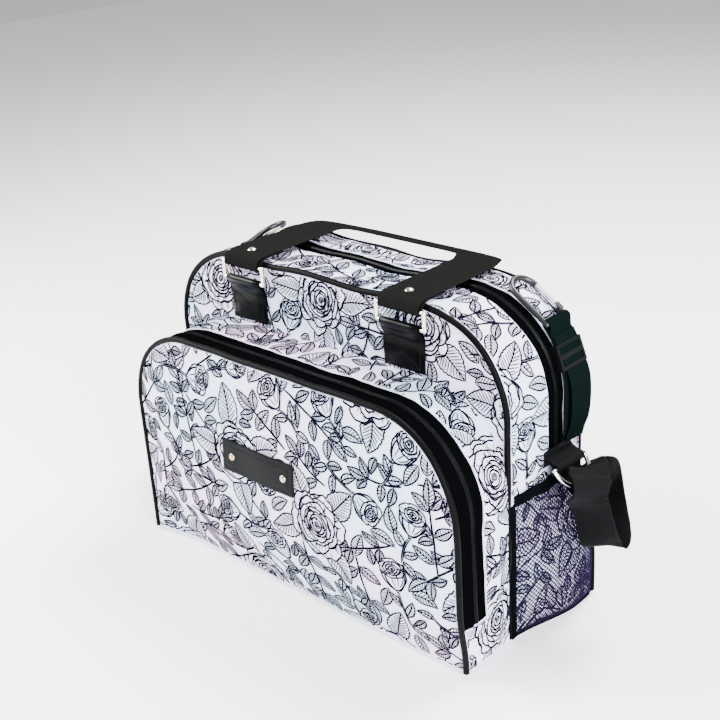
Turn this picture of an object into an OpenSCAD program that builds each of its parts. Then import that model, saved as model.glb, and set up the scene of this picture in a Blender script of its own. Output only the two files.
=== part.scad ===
// Soft baby changing bag with a zipped front pocket, webbing handles, side net pockets and
// stroller straps. Millimetres, +Z up, the origin is the middle of the base's underside and
// the front faces -Y.

/* [Body] */
// Width of the bag
body_w = 400; // [380:5:430]
// Height of the main compartment
body_h = 294; // [285:1:315]
// Radius of the two upper corners of the main compartment
corner_r = 85; // [70:1:90]
// Depth of the main compartment
main_d = 104; // [98:1:125]
// Thickness of the gusset cloth with its foam
wall = 3; // [2.6:0.1:3.4]
// Thickness of the padded front and back panels
panel_t = 4; // [3:0.1:4]
// Radius of the piping
pipe_r = 2.5; // [2:0.1:2.5]
// Height where the main zip starts and ends on the two sides
zip_end_z = 150; // [147:1:154]
// How far the main zip lies behind the middle of the gusset
zip_back = 12; // [6:1:12]

/* [Front pocket] */
// Height of the front pocket
pocket_h = 230; // [215:1:232]
// Depth of the front pocket
pocket_d = 68; // [64:1:80]
// Radius of the two upper corners of the front pocket
pocket_r = 84; // [70:1:84]
// Height where the pocket zip starts and ends on the two sides
pocket_zip_z = 50; // [44:1:54]

/* [Handles] */
// Distance of a handle's legs from the middle plane
leg_x = 96; // [90:1:98]
// Width of the handle webbing
web_w = 44; // [40:1:44]
// Height of the lower bar of the handle rings
ring_z = 274; // [270:0.5:275]
// Reach of the front handle behind the back panel
front_reach = 40; // [30:1:50]
// Length of the hanging back handle
back_len = 190; // [170:1:195]

/* [Sides] */
// Bulge of the side net pockets
net_bulge = 9; // [6:0.5:10]
// Height of the top edge of the side net pockets
net_z = 143; // [139:1:146]
// Width of the stroller straps
strap_w = 30; // [26:1:30]
// Angle at which the stroller strap ends on the upper corner
strap_a = 38; // [34:1:42]
// Width of the shoulder strap
shoulder_w = 38; // [34:1:38]
// Reach of the shoulder strap beside the bag
shoulder_out = 60; // [58:1:64]

/* [Hidden] */

y_back = (main_d + pocket_d) / 2;
y_main = y_back - main_d;
y_pocket = -y_back;
y_zip = y_main + main_d / 2 + zip_back;
half_w = body_w / 2;
base_t = 3;
tape_w = 12;
coil_w = 5.6;
gap = 0.1;
ptape_0 = y_pocket + pipe_r + 1 + gap;
pcoil_0 = ptape_0 + 11.5;
pcoil_1 = pcoil_0 + coil_w;
ptape_1 = pcoil_1 + 11;
bar_r = 2;
ring_h = 16;
ring_in = web_w + 4;
y_ring = y_main - 6.5;
y_bring = y_back + 5.5;
d_y = y_zip;
d_z = net_z + 11;
d_x = half_w + net_bulge + 6.5;
d_tilt = 40;
corner_x = half_w - corner_r;
corner_z = body_h - corner_r;
slide_a = 21;
clip_len = 50;
clip_in = 22;
clip_r = 2.6;
gate_z = 10.8;
clip_rest = 18.5;
strap_y = y_zip + 8;

// ---------------------------------------------------------------- helpers

module along_y(y0, y1) {
  translate([0, y1, 0]) rotate([90, 0, 0]) linear_extrude(y1 - y0) children();
}

module d_shape(w, h, r) {
  translate([-w / 2, 0]) square([w, h - r]);
  translate([-w / 2 + r, 0]) square([w - 2 * r, h]);
  for (s = [-1, 1]) translate([s * (w / 2 - r), h - r]) circle(r, $fn = 96);
}

// Arch-shaped band of a gusset: inset from the outer outline, t thick, from height z0
module band(w, h, r, inset, t, y0, y1, z0) {
  difference() {
    along_y(y0, y1) d_shape(w - 2 * inset, h - inset, r - inset);
    along_y(y0 - 1, y1 + 1) d_shape(w - 2 * (inset + t), h - inset - t, r - inset - t);
    translate([-w, y0 - 1, -1]) cube([2 * w, y1 - y0 + 2, z0 + 1]);
  }
}

// Round piping along an arch
module pipe(w, h, r, y, rr, z0) {
  for (s = [-1, 1]) {
    translate([s * w / 2, y, z0]) cylinder(r = rr, h = h - r - z0, $fn = 32);
    translate([s * (w / 2 - r), y, h - r])
      rotate([90, s > 0 ? 0 : 0, 0])
        rotate([0, 0, s > 0 ? 0 : 90])
          rotate_extrude(angle = 90, $fn = 96) translate([r, 0]) circle(rr, $fn = 32);
  }
  translate([-w / 2 + r, y, h]) rotate([0, 90, 0]) cylinder(r = rr, h = w - 2 * r, $fn = 32);
}

module box(x0, x1, y0, y1, z0, z1) {
  translate([x0, y0, z0]) cube([x1 - x0, y1 - y0, z1 - z0]);
}

module rod_x(x0, x1, y, z, r) {
  translate([x0, y, z]) rotate([0, 90, 0]) cylinder(r = r, h = x1 - x0, $fn = 32);
}

module rod_y(x, y0, y1, z, r) {
  translate([x, y0, z]) rotate([-90, 0, 0]) cylinder(r = r, h = y1 - y0, $fn = 32);
}

module rod_z(x, y, z0, z1, r) {
  translate([x, y, z0]) cylinder(r = r, h = z1 - z0, $fn = 32);
}

module ball(p, r) {
  translate(p) sphere(r, $fn = 32);
}

// Flat rectangular wire ring: bottom bar on z = 0, top bar on z = ring_h
module ring() {
  a = ring_in / 2 + bar_r;
  rod_x(-a, a, 0, 0, bar_r);
  rod_x(-a, a, 0, ring_h, bar_r);
  for (s = [-1, 1]) {
    rod_z(s * a, 0, 0, ring_h, bar_r);
    ball([s * a, 0, 0], bar_r);
    ball([s * a, 0, ring_h], bar_r);
  }
}

// Tab folded round a ring's bar: the fold is on the y = 0 axis, the plate lies dy behind it
module tab(dy, len) {
  w = web_w + 1;
  difference() {
    union() {
      rod_x(-w / 2, w / 2, 0, 0, bar_r + 2);
      box(-w / 2, w / 2, dy > 0 ? 0 : dy, dy > 0 ? dy : 0, -5, -1);
      box(-w / 2, w / 2, dy > 0 ? dy - 2.5 : dy, dy > 0 ? dy : dy + 2.5, -len, -1);
    }
    rod_x(-w, w, 0, 0, bar_r + 0.35);
  }
}

// U of webbing in the XY plane, open towards -Y: legs at leg_x, cross piece ends at y1
module u_shape(y0, y1, cross_w) {
  ro = 62;
  ri = ro - web_w + 6;
  xo = leg_x + web_w / 2;
  xi = leg_x - web_w / 2;
  difference() {
    union() {
      translate([-xo, y0]) square([2 * xo, y1 - ro - y0]);
      translate([-xo + ro, y0]) square([2 * (xo - ro), y1 - y0]);
      for (s = [-1, 1]) translate([s * (xo - ro), y1 - ro]) circle(ro, $fn = 96);
    }
    union() {
      translate([-xi, y0 - 1]) square([2 * xi, y1 - cross_w - ri - y0 + 1]);
      translate([-xi + ri, y0 - 1]) square([2 * (xi - ri), y1 - cross_w - y0 + 1]);
      for (s = [-1, 1]) translate([s * (xi - ri), y1 - cross_w - ri]) circle(ri, $fn = 96);
    }
  }
}

// Webbing sleeve round a bar along X
module sleeve_x(x, y, z) {
  difference() {
    rod_x(x - web_w / 2, x + web_w / 2, y, z, bar_r + 2.6);
    rod_x(x - web_w, x + web_w, y, z, bar_r + 0.35);
  }
}

module rivet(r) {
  cylinder(r = r, h = 1, $fn = 48);
  difference() {
    translate([0, 0, 1 - r * 0.9]) sphere(r * 1.35, $fn = 48);
    translate([-2 * r, -2 * r, -4 * r]) cube([4 * r, 4 * r, 4 * r + 0.9]);
  }
}

// Slider plate with a bridge, lying in the YZ plane and facing -X
module slider() {
  box(-2.3, -0.3, -4, 4, -7, 7);
  for (s = [-1, 1]) box(-5.6, -2.2, -1.2, 1.2, s * 4.2 - 0.8, s * 4.2 + 0.8);
  box(-6.4, -5.4, -1.2, 1.2, -5, 5);
}

function bulge_pt(y, s) = s * sin(180 * (y - (y_main + 6)) / (main_d - 11));

// Plan of one side net, bulging out of the side
module net_plan(b, t) {
  n = 24;
  y0 = y_main + 6;
  y1 = y_back - 5;
  outer = [for (i = [0:n]) [bulge_pt(y0 + (y1 - y0) * i / n, b) + t, y0 + (y1 - y0) * i / n]];
  inner = [for (i = [n:-1:0]) [bulge_pt(y0 + (y1 - y0) * i / n, b), y0 + (y1 - y0) * i / n]];
  polygon(concat(outer, inner));
}

module net() {
  translate([half_w + 0.2, 0, base_t + 0.3])
    linear_extrude(net_z - 10.2 - base_t - 0.3) net_plan(net_bulge, 0.8);
  translate([half_w + 0.2, 0, base_t + 0.3]) linear_extrude(1) polygon(
    concat([for (i = [0:24]) let (y = y_main + 6 + (main_d - 11) * i / 24)
      [bulge_pt(y, net_bulge) + 0.4, y]], [[0, y_back - 5.2], [0, y_main + 6.2]]));
}

module elastic() {
  translate([half_w + 0.2, 0, net_z - 10]) linear_extrude(10) net_plan(net_bulge, 1.6);
}

module d_frame() {
  translate([d_x, d_y, d_z]) rotate([0, -d_tilt, 0]) children();
}

module d_ring() {
  a = shoulder_w / 2 + 2.5;
  d_frame() {
    rod_y(0, -a, a, 0, bar_r);
    for (s = [-1, 1]) ball([0, s * a, 0], bar_r);
    rotate([0, 90, 0]) rotate_extrude(angle = 90, $fn = 96)
      translate([a, 0]) circle(bar_r, $fn = 32);
    rotate([0, 90, 0]) mirror([0, 1, 0]) rotate_extrude(angle = 90, $fn = 96)
      translate([a, 0]) circle(bar_r, $fn = 32);
  }
}

// Folded tab: a foot sewn over the zip's end, a slope, and a fold round the ring's bar
module d_tab() {
  w = shoulder_w - 2;
  fx = half_w + 2;
  fz = d_z + 5;
  difference() {
    union() {
      rod_y(d_x, d_y - w / 2, d_y + w / 2, d_z, bar_r + 2);
      box(half_w + 0.2, half_w + 4, d_y - w / 2, d_y + w / 2, d_z - 3, d_z + 12);
      translate([d_x, d_y, d_z]) rotate([0, 180 - atan2(d_z - fz, d_x - fx), 0])
        box(3, norm([d_x - fx, d_z - fz]), -w / 2 + 0.5, w / 2 - 0.5, -2, 2);
    }
    rod_y(d_x, d_y - w, d_y + w, d_z, bar_r + 0.35);
  }
}

// Stroller strap over the upper corner, drawn on the right side
module stroller_strap() {
  y0 = strap_y;
  y1 = y0 + strap_w;
  ri = corner_r + 3.4;
  along_y(y0, y1) difference() {
    union() {
      translate([corner_x + ri, d_z + 13]) square([2, corner_z - d_z - 13]);
      difference() {
        translate([corner_x, corner_z]) circle(ri + 2, $fn = 128);
        translate([corner_x, corner_z]) circle(ri, $fn = 128);
        translate([corner_x - 200, corner_z - 200]) square([400, 200]);
        translate([corner_x, corner_z]) rotate(strap_a) translate([-200, 0]) square([400, 200]);
      }
    }
  }
  // foot of the strap, sewn to the side under the ring tab's upper edge
  box(half_w + 0.2, half_w + 5.4, d_y + shoulder_w / 2, y1 - 2.2, d_z + 7, d_z + 15);
  clip_frame() rotate([90, 0, 0]) difference() {
    cylinder(r = clip_r + 2.4, h = clip_in - 2, center = true, $fn = 48);
    cylinder(r = clip_r + 0.4, h = clip_in, center = true, $fn = 48);
  }
}

function loop_r() = corner_r + 4.4 + clip_r + 0.6;
function clip_x() = corner_x + loop_r() * cos(strap_a + 1.8);
function clip_z() = corner_z + loop_r() * sin(strap_a + 1.8);

module clip_frame() {
  translate([clip_x(), strap_y + strap_w / 2, clip_z()]) children();
}

// Wire body of the clip, from its pivot bar up along +Z, open on the +Y side for the gate
module clip_wire() {
  a = clip_in / 2 + clip_r;
  rod_y(0, -a, a, 0, clip_r);
  ball([0, -a, 0], clip_r);
  ball([0, a, 0], clip_r);
  rod_z(0, -a, 0, clip_len - a, clip_r);
  rod_z(0, a, 0, 8, clip_r);
  translate([0, 0, clip_len - a]) rotate([0, -90, 0])
    rotate_extrude(angle = 90, $fn = 96) translate([a, 0]) circle(clip_r, $fn = 32);
  translate([0, 0, clip_len - a]) rotate([0, -90, 0]) mirror([0, 1, 0])
    rotate_extrude(angle = 90, $fn = 96) translate([a, 0]) circle(clip_r, $fn = 32);
  for (s = [-1, 1]) box(s * 2.2 - 0.5, s * 2.2 + 0.5, a - 2.4, a + 2.4, 6, 13);
  rod_x(-2.7, 2.7, a, gate_z, 0.9);
}

module clip_gate() {
  a = clip_in / 2 + clip_r;
  difference() {
    box(-1.5, 1.5, a - 2, a + 2, gate_z - 1.5, clip_len - a - 0.5);
    rod_x(-3, 3, a, gate_z, 1);
  }
}

module clip_pose() {
  clip_frame() rotate([0, -(strap_a + clip_rest), 0]) children();
}

module left() {
  mirror([1, 0, 0]) children();
}

// ---------------------------------------------------------------- shell

module base_panel() color("lavender") {
  box(-half_w, half_w, y_pocket, y_back, 0, base_t);
}

module base_board() color("dimgray") {
  box(-half_w + 10, half_w - 10, y_main + panel_t + 2, y_back - panel_t - 2, base_t + 0.1, base_t + 2.6);
}

module lining() color("silver") {
  y0 = y_main + panel_t + 0.4;
  y1 = y_back - panel_t - 0.4;
  i = wall + 0.4;
  z0 = base_t + 2.8;
  difference() {
    along_y(y0, y1) d_shape(body_w - 2 * i, body_h - i, corner_r - i);
    along_y(y0 + 0.8, y1 - 0.8) difference() {
      d_shape(body_w - 2 * i - 1.6, body_h - i - 0.8, corner_r - i - 0.8);
      translate([-body_w, -1]) square([2 * body_w, z0 + 1.8]);
    }
    translate([-body_w, y0 - 1, -1]) cube([2 * body_w, y1 - y0 + 2, z0 + 1]);
    box(-body_w, body_w, y_zip - 9, y_zip + 9, zip_end_z, body_h + 5);
  }
}

module plate(w, h, r, y0, y1) {
  i = pipe_r + 1.6;
  difference() {
    along_y(y0, y1) d_shape(w - 2 * i, h - i, r - i);
    translate([-w, y0 - 1, -1]) cube([2 * w, y1 - y0 + 2, base_t + 1 + gap]);
  }
}

module front_panel() color("ghostwhite") {
  plate(body_w, body_h, corner_r, y_main, y_main + panel_t);
}

module back_panel() color("ghostwhite") {
  plate(body_w, body_h, corner_r, y_back - panel_t, y_back);
}

module side_panel() {
  box(half_w - wall, half_w, y_main + pipe_r + 1.2, y_back - pipe_r - 1.2, base_t + gap, zip_end_z - gap);
}

module side_panel_right() color("lavender") {
  side_panel();
}

module side_panel_left() color("lavender") {
  left() side_panel();
}

module gusset_front_strip() color("lavender") {
  band(body_w, body_h, corner_r, 0, wall, y_main + pipe_r + 1.2, y_zip - tape_w - gap, zip_end_z);
}

module gusset_back_strip() color("lavender") {
  band(body_w, body_h, corner_r, 0, wall, y_zip + tape_w + gap, y_back - pipe_r - 1.2, zip_end_z);
}

module front_piping() color("black") {
  pipe(body_w - 3, body_h - 1.5, corner_r - 1.5, y_main + 1, pipe_r, base_t + gap);
}

module back_piping() color("black") {
  pipe(body_w - 3, body_h - 1.5, corner_r - 1.5, y_back - 1, pipe_r, base_t + gap);
}

// ---------------------------------------------------------------- main zip

module main_zip_tapes() color("black") {
  c = coil_w / 2 + gap;
  band(body_w, body_h, corner_r, 0.8, 1.2, y_zip - tape_w, y_zip - c, zip_end_z);
  band(body_w, body_h, corner_r, 0.8, 1.2, y_zip + c, y_zip + tape_w, zip_end_z);
}

module main_zip_coil() color("dimgray") {
  c = coil_w / 2;
  band(body_w, body_h, corner_r, 0.2, 2.4, y_zip - c, y_zip + c, zip_end_z);
}

module main_zip_slider() color("gray") {
  translate([-half_w, y_zip, corner_z]) slider();
}

module main_zip_pull() color("gray") {
  translate([-half_w, y_zip, corner_z]) {
    rod_y(-4.3, -3.2, 3.2, 0, 0.8);
    for (s = [-1, 1]) {
      rod_z(-4.3, s * 3.2, -9, 0, 0.8);
      ball([-4.3, s * 3.2, 0], 0.8);
    }
    box(-5.1, -3.5, -4, 4, -20, -8.5);
  }
}

// ---------------------------------------------------------------- front pocket

module pocket_front_panel() color("ghostwhite") {
  plate(body_w, pocket_h, pocket_r, y_pocket, y_pocket + panel_t);
}

module pocket_gusset() color("lavender") {
  difference() {
    union() {
      band(body_w, pocket_h, pocket_r, 0, wall, ptape_1 + gap, y_main - gap, base_t + gap);
      for (s = [0, 1]) mirror([s, 0, 0])
        box(half_w - wall, half_w, ptape_0, ptape_1 + 1, base_t + gap, pocket_zip_z - gap);
    }
    for (s = [0, 1]) mirror([s, 0, 0])
      box(half_w - wall - 2, half_w + 2, y_main - 1.7, y_main + 1, 0, pocket_h);
  }
}

module pocket_piping() color("black") {
  pipe(body_w - 3, pocket_h - 1.5, pocket_r - 1.5, y_pocket + 1, pipe_r, base_t + gap);
}

module pocket_zip_tapes() color("black") {
  band(body_w, pocket_h, pocket_r, 0.8, 1.2, ptape_0, pcoil_0 - gap, pocket_zip_z);
  band(body_w, pocket_h, pocket_r, 0.8, 1.2, pcoil_1 + gap, ptape_1, pocket_zip_z);
}

module pocket_zip_coil() color("dimgray") {
  band(body_w, pocket_h, pocket_r, 0.2, 2.4, pcoil_0, pcoil_1, pocket_zip_z);
}

module pocket_zip_slider() color("gray") {
  translate([-half_w, (pcoil_0 + pcoil_1) / 2, pocket_zip_z + 8]) slider();
}

// Loop-shaped cord puller
module pocket_zip_pull() color("black") {
  translate([-half_w, (pcoil_0 + pcoil_1) / 2, pocket_zip_z + 8]) {
    rod_y(-4.3, -3.6, 3.6, 0, 0.8);
    for (s = [-1, 1]) {
      rod_z(-4.3, s * 3.6, -30, 0, 0.8);
      ball([-4.3, s * 3.6, 0], 0.8);
      rod_z(-4.3, s * 3.6, -30, -9, 1.6);
    }
    difference() {
      rod_x(-5.9, -2.7, 0, -33, 6.2);
      rod_x(-8, 0, 0, -33, 3);
      box(-8, 0, -2, 2, -33, -20);
    }
    box(-6.1, -2.5, -5.2, 5.2, -14, -9.5);
  }
}

// ---------------------------------------------------------------- label

module label_patch() color("black") {
  box(-58, 33, y_pocket - 1.8, y_pocket - 0.1, 123.5, 154.5);
}

module label_rivets() color("goldenrod") {
  for (x = [-45, 21.5]) translate([x, y_pocket - 1.9, 139]) rotate([90, 0, 0]) rivet(3.2);
}

// ---------------------------------------------------------------- handles

module front_tab(s) {
  translate([s * leg_x, y_ring, ring_z]) tab(6.4, ring_z - pocket_h - 3.5);
}

module front_tab_left() color("black") {
  front_tab(-1);
}

module front_tab_right() color("black") {
  front_tab(1);
}

module front_ring_left() color("goldenrod") {
  translate([-leg_x, y_ring, ring_z]) ring();
}

module front_ring_right() color("goldenrod") {
  translate([leg_x, y_ring, ring_z]) ring();
}

// Handle folded over the top edge and lying back across the top
module front_handle() color("dimgray") {
  zt = body_h + 3.4;
  zr = ring_z + ring_h;
  rb = 5;
  for (s = [-1, 1]) {
    sleeve_x(s * leg_x, y_ring, zr);
    translate([s * leg_x - web_w / 2, 0, 0]) {
      box(0, web_w, y_ring - 1.25, y_ring + 1.25, zr + bar_r + 0.6, zt + 2.5 - rb);
      translate([0, y_ring + rb - 1.25, zt + 2.5 - rb]) rotate([90, 0, 90])
        linear_extrude(web_w) difference() {
          circle(rb, $fn = 64);
          circle(rb - 2.5, $fn = 64);
          translate([-20, -40]) square([40, 40]);
          translate([0, -20]) square([40, 40]);
        }
    }
  }
  translate([0, 0, zt]) linear_extrude(2.5)
    u_shape(y_ring + rb - 1.3, y_back + front_reach, 34);
}

module front_handle_rivets() color("goldenrod") {
  for (s = [-1, 1]) translate([s * leg_x, y_ring + 13, body_h + 5.95]) rivet(4);
}

module back_tab(s) {
  translate([s * leg_x, y_bring, ring_z]) tab(-5.4, ring_z - pocket_h - 3.5);
}

module back_tab_left() color("black") {
  back_tab(-1);
}

module back_tab_right() color("black") {
  back_tab(1);
}

// Back rings hang down outside their tabs
module back_ring(s) {
  translate([s * leg_x, y_bring, ring_z]) rotate([190, 0, 0]) ring();
}

module back_ring_left() color("goldenrod") {
  back_ring(-1);
}

module back_ring_right() color("goldenrod") {
  back_ring(1);
}

yb2 = y_bring + ring_h * sin(10);
zb2 = ring_z - ring_h * cos(10);

module back_handle() color("dimgray") {
  for (s = [-1, 1]) {
    sleeve_x(s * leg_x, yb2, zb2);
    box(s * leg_x - web_w / 2, s * leg_x + web_w / 2, yb2 - 1.25, yb2 + 1.25,
      zb2 - 30, zb2 - bar_r - 0.6);
  }
  translate([0, yb2 - 1.25, zb2]) mirror([0, 0, 1]) rotate([90, 0, 0]) mirror([0, 0, 1])
    linear_extrude(2.5) u_shape(20, back_len, 34);
}

module back_handle_rivets() color("goldenrod") {
  for (s = [-1, 1]) translate([s * leg_x, yb2 + 1.3, zb2 - 14]) rotate([-90, 0, 0]) rivet(4);
}

// ---------------------------------------------------------------- sides

module net_pocket_right() color("dimgray") {
  net();
}

module net_pocket_left() color("dimgray") {
  left() net();
}

module net_elastic_right() color("black") {
  elastic();
}

module net_elastic_left() color("black") {
  left() elastic();
}

module d_ring_tab_right() color("black") {
  d_tab();
}

module d_ring_tab_left() color("black") {
  left() d_tab();
}

module d_ring_right() color("silver") {
  d_ring();
}

module d_ring_left() color("silver") {
  left() d_ring();
}

// Plan of the shoulder strap's right half: out of the ring, round and behind the bag
so_r = 22;
so_x = half_w + shoulder_out - so_r;
so_y = d_y + so_r + 6;
back_y = so_y + so_r;

module strap_plan_side() {
  t = 2;
  translate([d_x + 17, so_y - so_r]) square([so_x - d_x - 17, t]);
  difference() {
    translate([so_x, so_y]) circle(so_r, $fn = 96);
    translate([so_x, so_y]) circle(so_r - t, $fn = 96);
    translate([so_x - 100, so_y - 50]) square([100, 100]);
  }
}

module strap_plan_back() {
  translate([-so_x - 0.5, back_y - 2]) square([2 * so_x + 1, 2]);
}

module shoulder_strap() color("black") {
  z0 = d_z - 46;
  w = shoulder_w;
  for (s = [0, 1]) mirror([s, 0, 0]) {
    translate([0, 0, z0]) linear_extrude(w) strap_plan_side();
    d_frame() difference() {
      box(-4.6, 4.8, -w / 2 + 4, w / 2 - 4, -(w / 2 + 9), -(w / 2 - 8));
      box(-2.6, 2.6, -w, w, -(w / 2 + 5.2), 0);
    }
    box(d_x + 17, d_x + 19, d_y - w / 2 + 4, so_y - so_r + 2, z0, z0 + w);
  }
  along_y(back_y - 2, back_y) polygon([
    [-so_x, z0 + w], [-so_x, z0], [-so_x + 20, z0 - 2], [-150, 8], [-135, 4.2],
    [135, 4.2], [150, 8], [so_x - 20, z0 - 2], [so_x, z0], [so_x, z0 + w],
    [so_x - 14, z0 + w + 1], [150, 50], [132, 42], [-132, 42], [-150, 50], [-so_x + 14, z0 + w + 1]
  ]);
}

// Three-bar slide on the strap behind the bag
module shoulder_slide() color("black") {
  translate([60, back_y - 1, 23]) difference() {
    box(-12, 12, -4, 4, -20.5, 22);
    box(-13, 13, -1.5, 1.5, -19.3, 19.5);
    for (s = [-1, 1]) box(s * 5.5 - 3.5, s * 5.5 + 3.5, -10, 10, -17.5, 19);
  }
}

module stroller_strap_right() color("darkslategray") {
  stroller_strap();
}

module stroller_strap_left() color("darkslategray") {
  left() stroller_strap();
}

module stroller_slide() {
  translate([corner_x, strap_y + strap_w / 2, corner_z]) rotate([0, -slide_a, 0])
    translate([corner_r + 4.4, 0, 0]) difference() {
      box(-2.9, 3.4, -strap_w / 2 - 2.5, strap_w / 2 + 2.5, -11, 11);
      box(-2.1, 1.5, -strap_w / 2 - 0.4, strap_w / 2 + 0.4, -30, 30);
      for (s = [-1, 1]) box(1, 10, -strap_w / 2 + 0.5, strap_w / 2 - 0.5, s * 5 - 3, s * 5 + 3);
    }
}

module stroller_slide_right() color("black") {
  stroller_slide();
}

module stroller_slide_left() color("black") {
  left() stroller_slide();
}

module clip_right() color("dimgray") {
  clip_pose() clip_wire();
}

module clip_left() color("dimgray") {
  left() clip_pose() clip_wire();
}

module clip_gate_right() color("silver") {
  clip_pose() clip_gate();
}

module clip_gate_left() color("silver") {
  left() clip_pose() clip_gate();
}

base_panel();
base_board();
lining();
front_panel();
back_panel();
side_panel_left();
side_panel_right();
gusset_front_strip();
gusset_back_strip();
front_piping();
back_piping();
main_zip_tapes();
main_zip_coil();
main_zip_slider();
main_zip_pull();
pocket_front_panel();
pocket_gusset();
pocket_piping();
pocket_zip_tapes();
pocket_zip_coil();
pocket_zip_slider();
pocket_zip_pull();
label_patch();
label_rivets();
front_tab_left();
front_tab_right();
front_ring_left();
front_ring_right();
front_handle();
front_handle_rivets();
back_tab_left();
back_tab_right();
back_ring_left();
back_ring_right();
back_handle();
back_handle_rivets();
net_pocket_left();
net_pocket_right();
net_elastic_left();
net_elastic_right();
d_ring_tab_left();
d_ring_tab_right();
d_ring_left();
d_ring_right();
shoulder_strap();
shoulder_slide();
stroller_strap_left();
stroller_strap_right();
stroller_slide_left();
stroller_slide_right();
clip_left();
clip_right();
clip_gate_left();
clip_gate_right();
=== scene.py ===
"""Visual layer of the changing bag: cloth, print, zips, webbing and metal, in the CAD frame."""

import math

import bpy
import numpy as np
from mathutils import Matrix, Vector
from mathutils.geometry import delaunay_2d_cdt


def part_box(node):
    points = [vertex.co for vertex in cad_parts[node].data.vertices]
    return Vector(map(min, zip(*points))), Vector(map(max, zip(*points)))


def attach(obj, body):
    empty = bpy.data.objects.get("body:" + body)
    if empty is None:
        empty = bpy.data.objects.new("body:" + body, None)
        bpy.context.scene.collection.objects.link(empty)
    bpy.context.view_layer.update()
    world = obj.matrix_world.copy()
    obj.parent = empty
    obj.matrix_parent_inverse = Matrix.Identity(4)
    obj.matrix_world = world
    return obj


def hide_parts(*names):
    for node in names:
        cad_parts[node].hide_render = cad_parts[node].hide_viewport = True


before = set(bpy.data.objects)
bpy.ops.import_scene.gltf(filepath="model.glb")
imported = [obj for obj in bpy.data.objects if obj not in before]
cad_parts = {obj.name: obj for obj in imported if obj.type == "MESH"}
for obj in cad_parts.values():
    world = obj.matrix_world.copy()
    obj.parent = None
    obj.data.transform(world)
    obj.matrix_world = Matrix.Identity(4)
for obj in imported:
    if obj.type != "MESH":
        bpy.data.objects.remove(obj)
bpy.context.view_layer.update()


def low(node):
    return np.array(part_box(node)[0])


def high(node):
    return np.array(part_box(node)[1])


def middle(node):
    return (low(node) + high(node)) / 2


# ------------------------------------------------------------------ sizes, from the CAD nodes
HALF, _, TOP = high("gusset_front_strip")
P_TOP = high("pocket_gusset")[2]
Y_MAIN, Y_BACK = low("front_panel")[1], high("back_panel")[1]
Y_POCKET = low("pocket_front_panel")[1]
Y_ZIP, Y_PZIP = middle("main_zip_coil")[1], middle("pocket_zip_coil")[1]
ZIP_Z, PZIP_Z = low("main_zip_coil")[2], low("pocket_zip_coil")[2]
BASE_T = high("base_panel")[2]
W = 2 * HALF
R_MAIN, R_POCKET = 0.085, 0.084  # corner radii of the two arches
INSET = 0.0025  # a panel's edge lies this far inside its gusset
PANEL_FOOT, GUSSET_FOOT = 0.0035, 0.0032  # lower edges of the cloth
SEAM = 0.0015  # from a panel's plane to its gusset's edge
CLOTH_T = 0.0016
PRINT_EDGE = 0.002  # bare cloth along a sewn edge
INK_LIFT = 0.00042
BAR = 0.002  # radius of a ring's wire
WEB_W, WEB_T = 0.044, 0.0016
STITCH, THREAD_R = 0.0036, 0.0003


# ------------------------------------------------------------------ materials
def material(name, color, rough=0.6, metal=0.0, **sockets):
    m = bpy.data.materials.new(name)
    m.use_nodes = True
    b = m.node_tree.nodes["Principled BSDF"]
    b.inputs["Base Color"].default_value = (*color, 1)
    b.inputs["Roughness"].default_value = rough
    b.inputs["Metallic"].default_value = metal
    for k, v in sockets.items():
        b.inputs[k.replace("_", " ").title().replace("Ior", "IOR")].default_value = v
    return m


def node(m, kind, **values):
    n = m.node_tree.nodes.new(kind)
    for k, v in values.items():
        if k in n.inputs:
            n.inputs[k].default_value = v
        else:
            setattr(n, k, v)
    return n


def link(m, a, b):
    m.node_tree.links.new(a, b)


def uv_scaled(m, su, sv):
    uv = node(m, "ShaderNodeUVMap", uv_map="cloth")
    mp = node(m, "ShaderNodeMapping")
    mp.inputs["Scale"].default_value = (su, sv, 1)
    link(m, uv.outputs["UV"], mp.inputs["Vector"])
    return mp.outputs["Vector"]


def bump(m, height, strength, distance):
    b = node(m, "ShaderNodeBump")
    b.inputs["Strength"].default_value = strength
    b.inputs["Distance"].default_value = distance
    link(m, height, b.inputs["Height"])
    link(m, b.outputs["Normal"], m.node_tree.nodes["Principled BSDF"].inputs["Normal"])


def ribbed(m, along, across, strength=0.5, distance=0.0004):
    """Woven ribs: across cords per metre of width and along picks per metre of length."""
    a = node(m, "ShaderNodeTexWave", wave_type="BANDS", bands_direction="Y")
    link(m, uv_scaled(m, 0, across * 0.314), a.inputs["Vector"])
    a.inputs["Scale"].default_value = 1
    b = node(m, "ShaderNodeTexWave", wave_type="BANDS", bands_direction="X")
    link(m, uv_scaled(m, along * 0.314, 0), b.inputs["Vector"])
    b.inputs["Scale"].default_value = 1
    mix = node(m, "ShaderNodeMath", operation="MULTIPLY_ADD")
    link(m, b.outputs["Fac"], mix.inputs[0])
    mix.inputs[1].default_value = 0.45
    link(m, a.outputs["Fac"], mix.inputs[2])
    bump(m, mix.outputs["Value"], strength, distance)


def grained(m, scale, strength=0.3, distance=0.0003, voronoi=True):
    if voronoi:
        t = node(m, "ShaderNodeTexVoronoi", feature="F1")
        out = "Distance"
    else:
        t = node(m, "ShaderNodeTexNoise")
        t.inputs["Detail"].default_value = 2
        out = "Fac"
    t.inputs["Scale"].default_value = scale
    link(m, uv_scaled(m, 1, 1), t.inputs["Vector"])
    bump(m, t.outputs[out], strength, distance)


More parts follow.
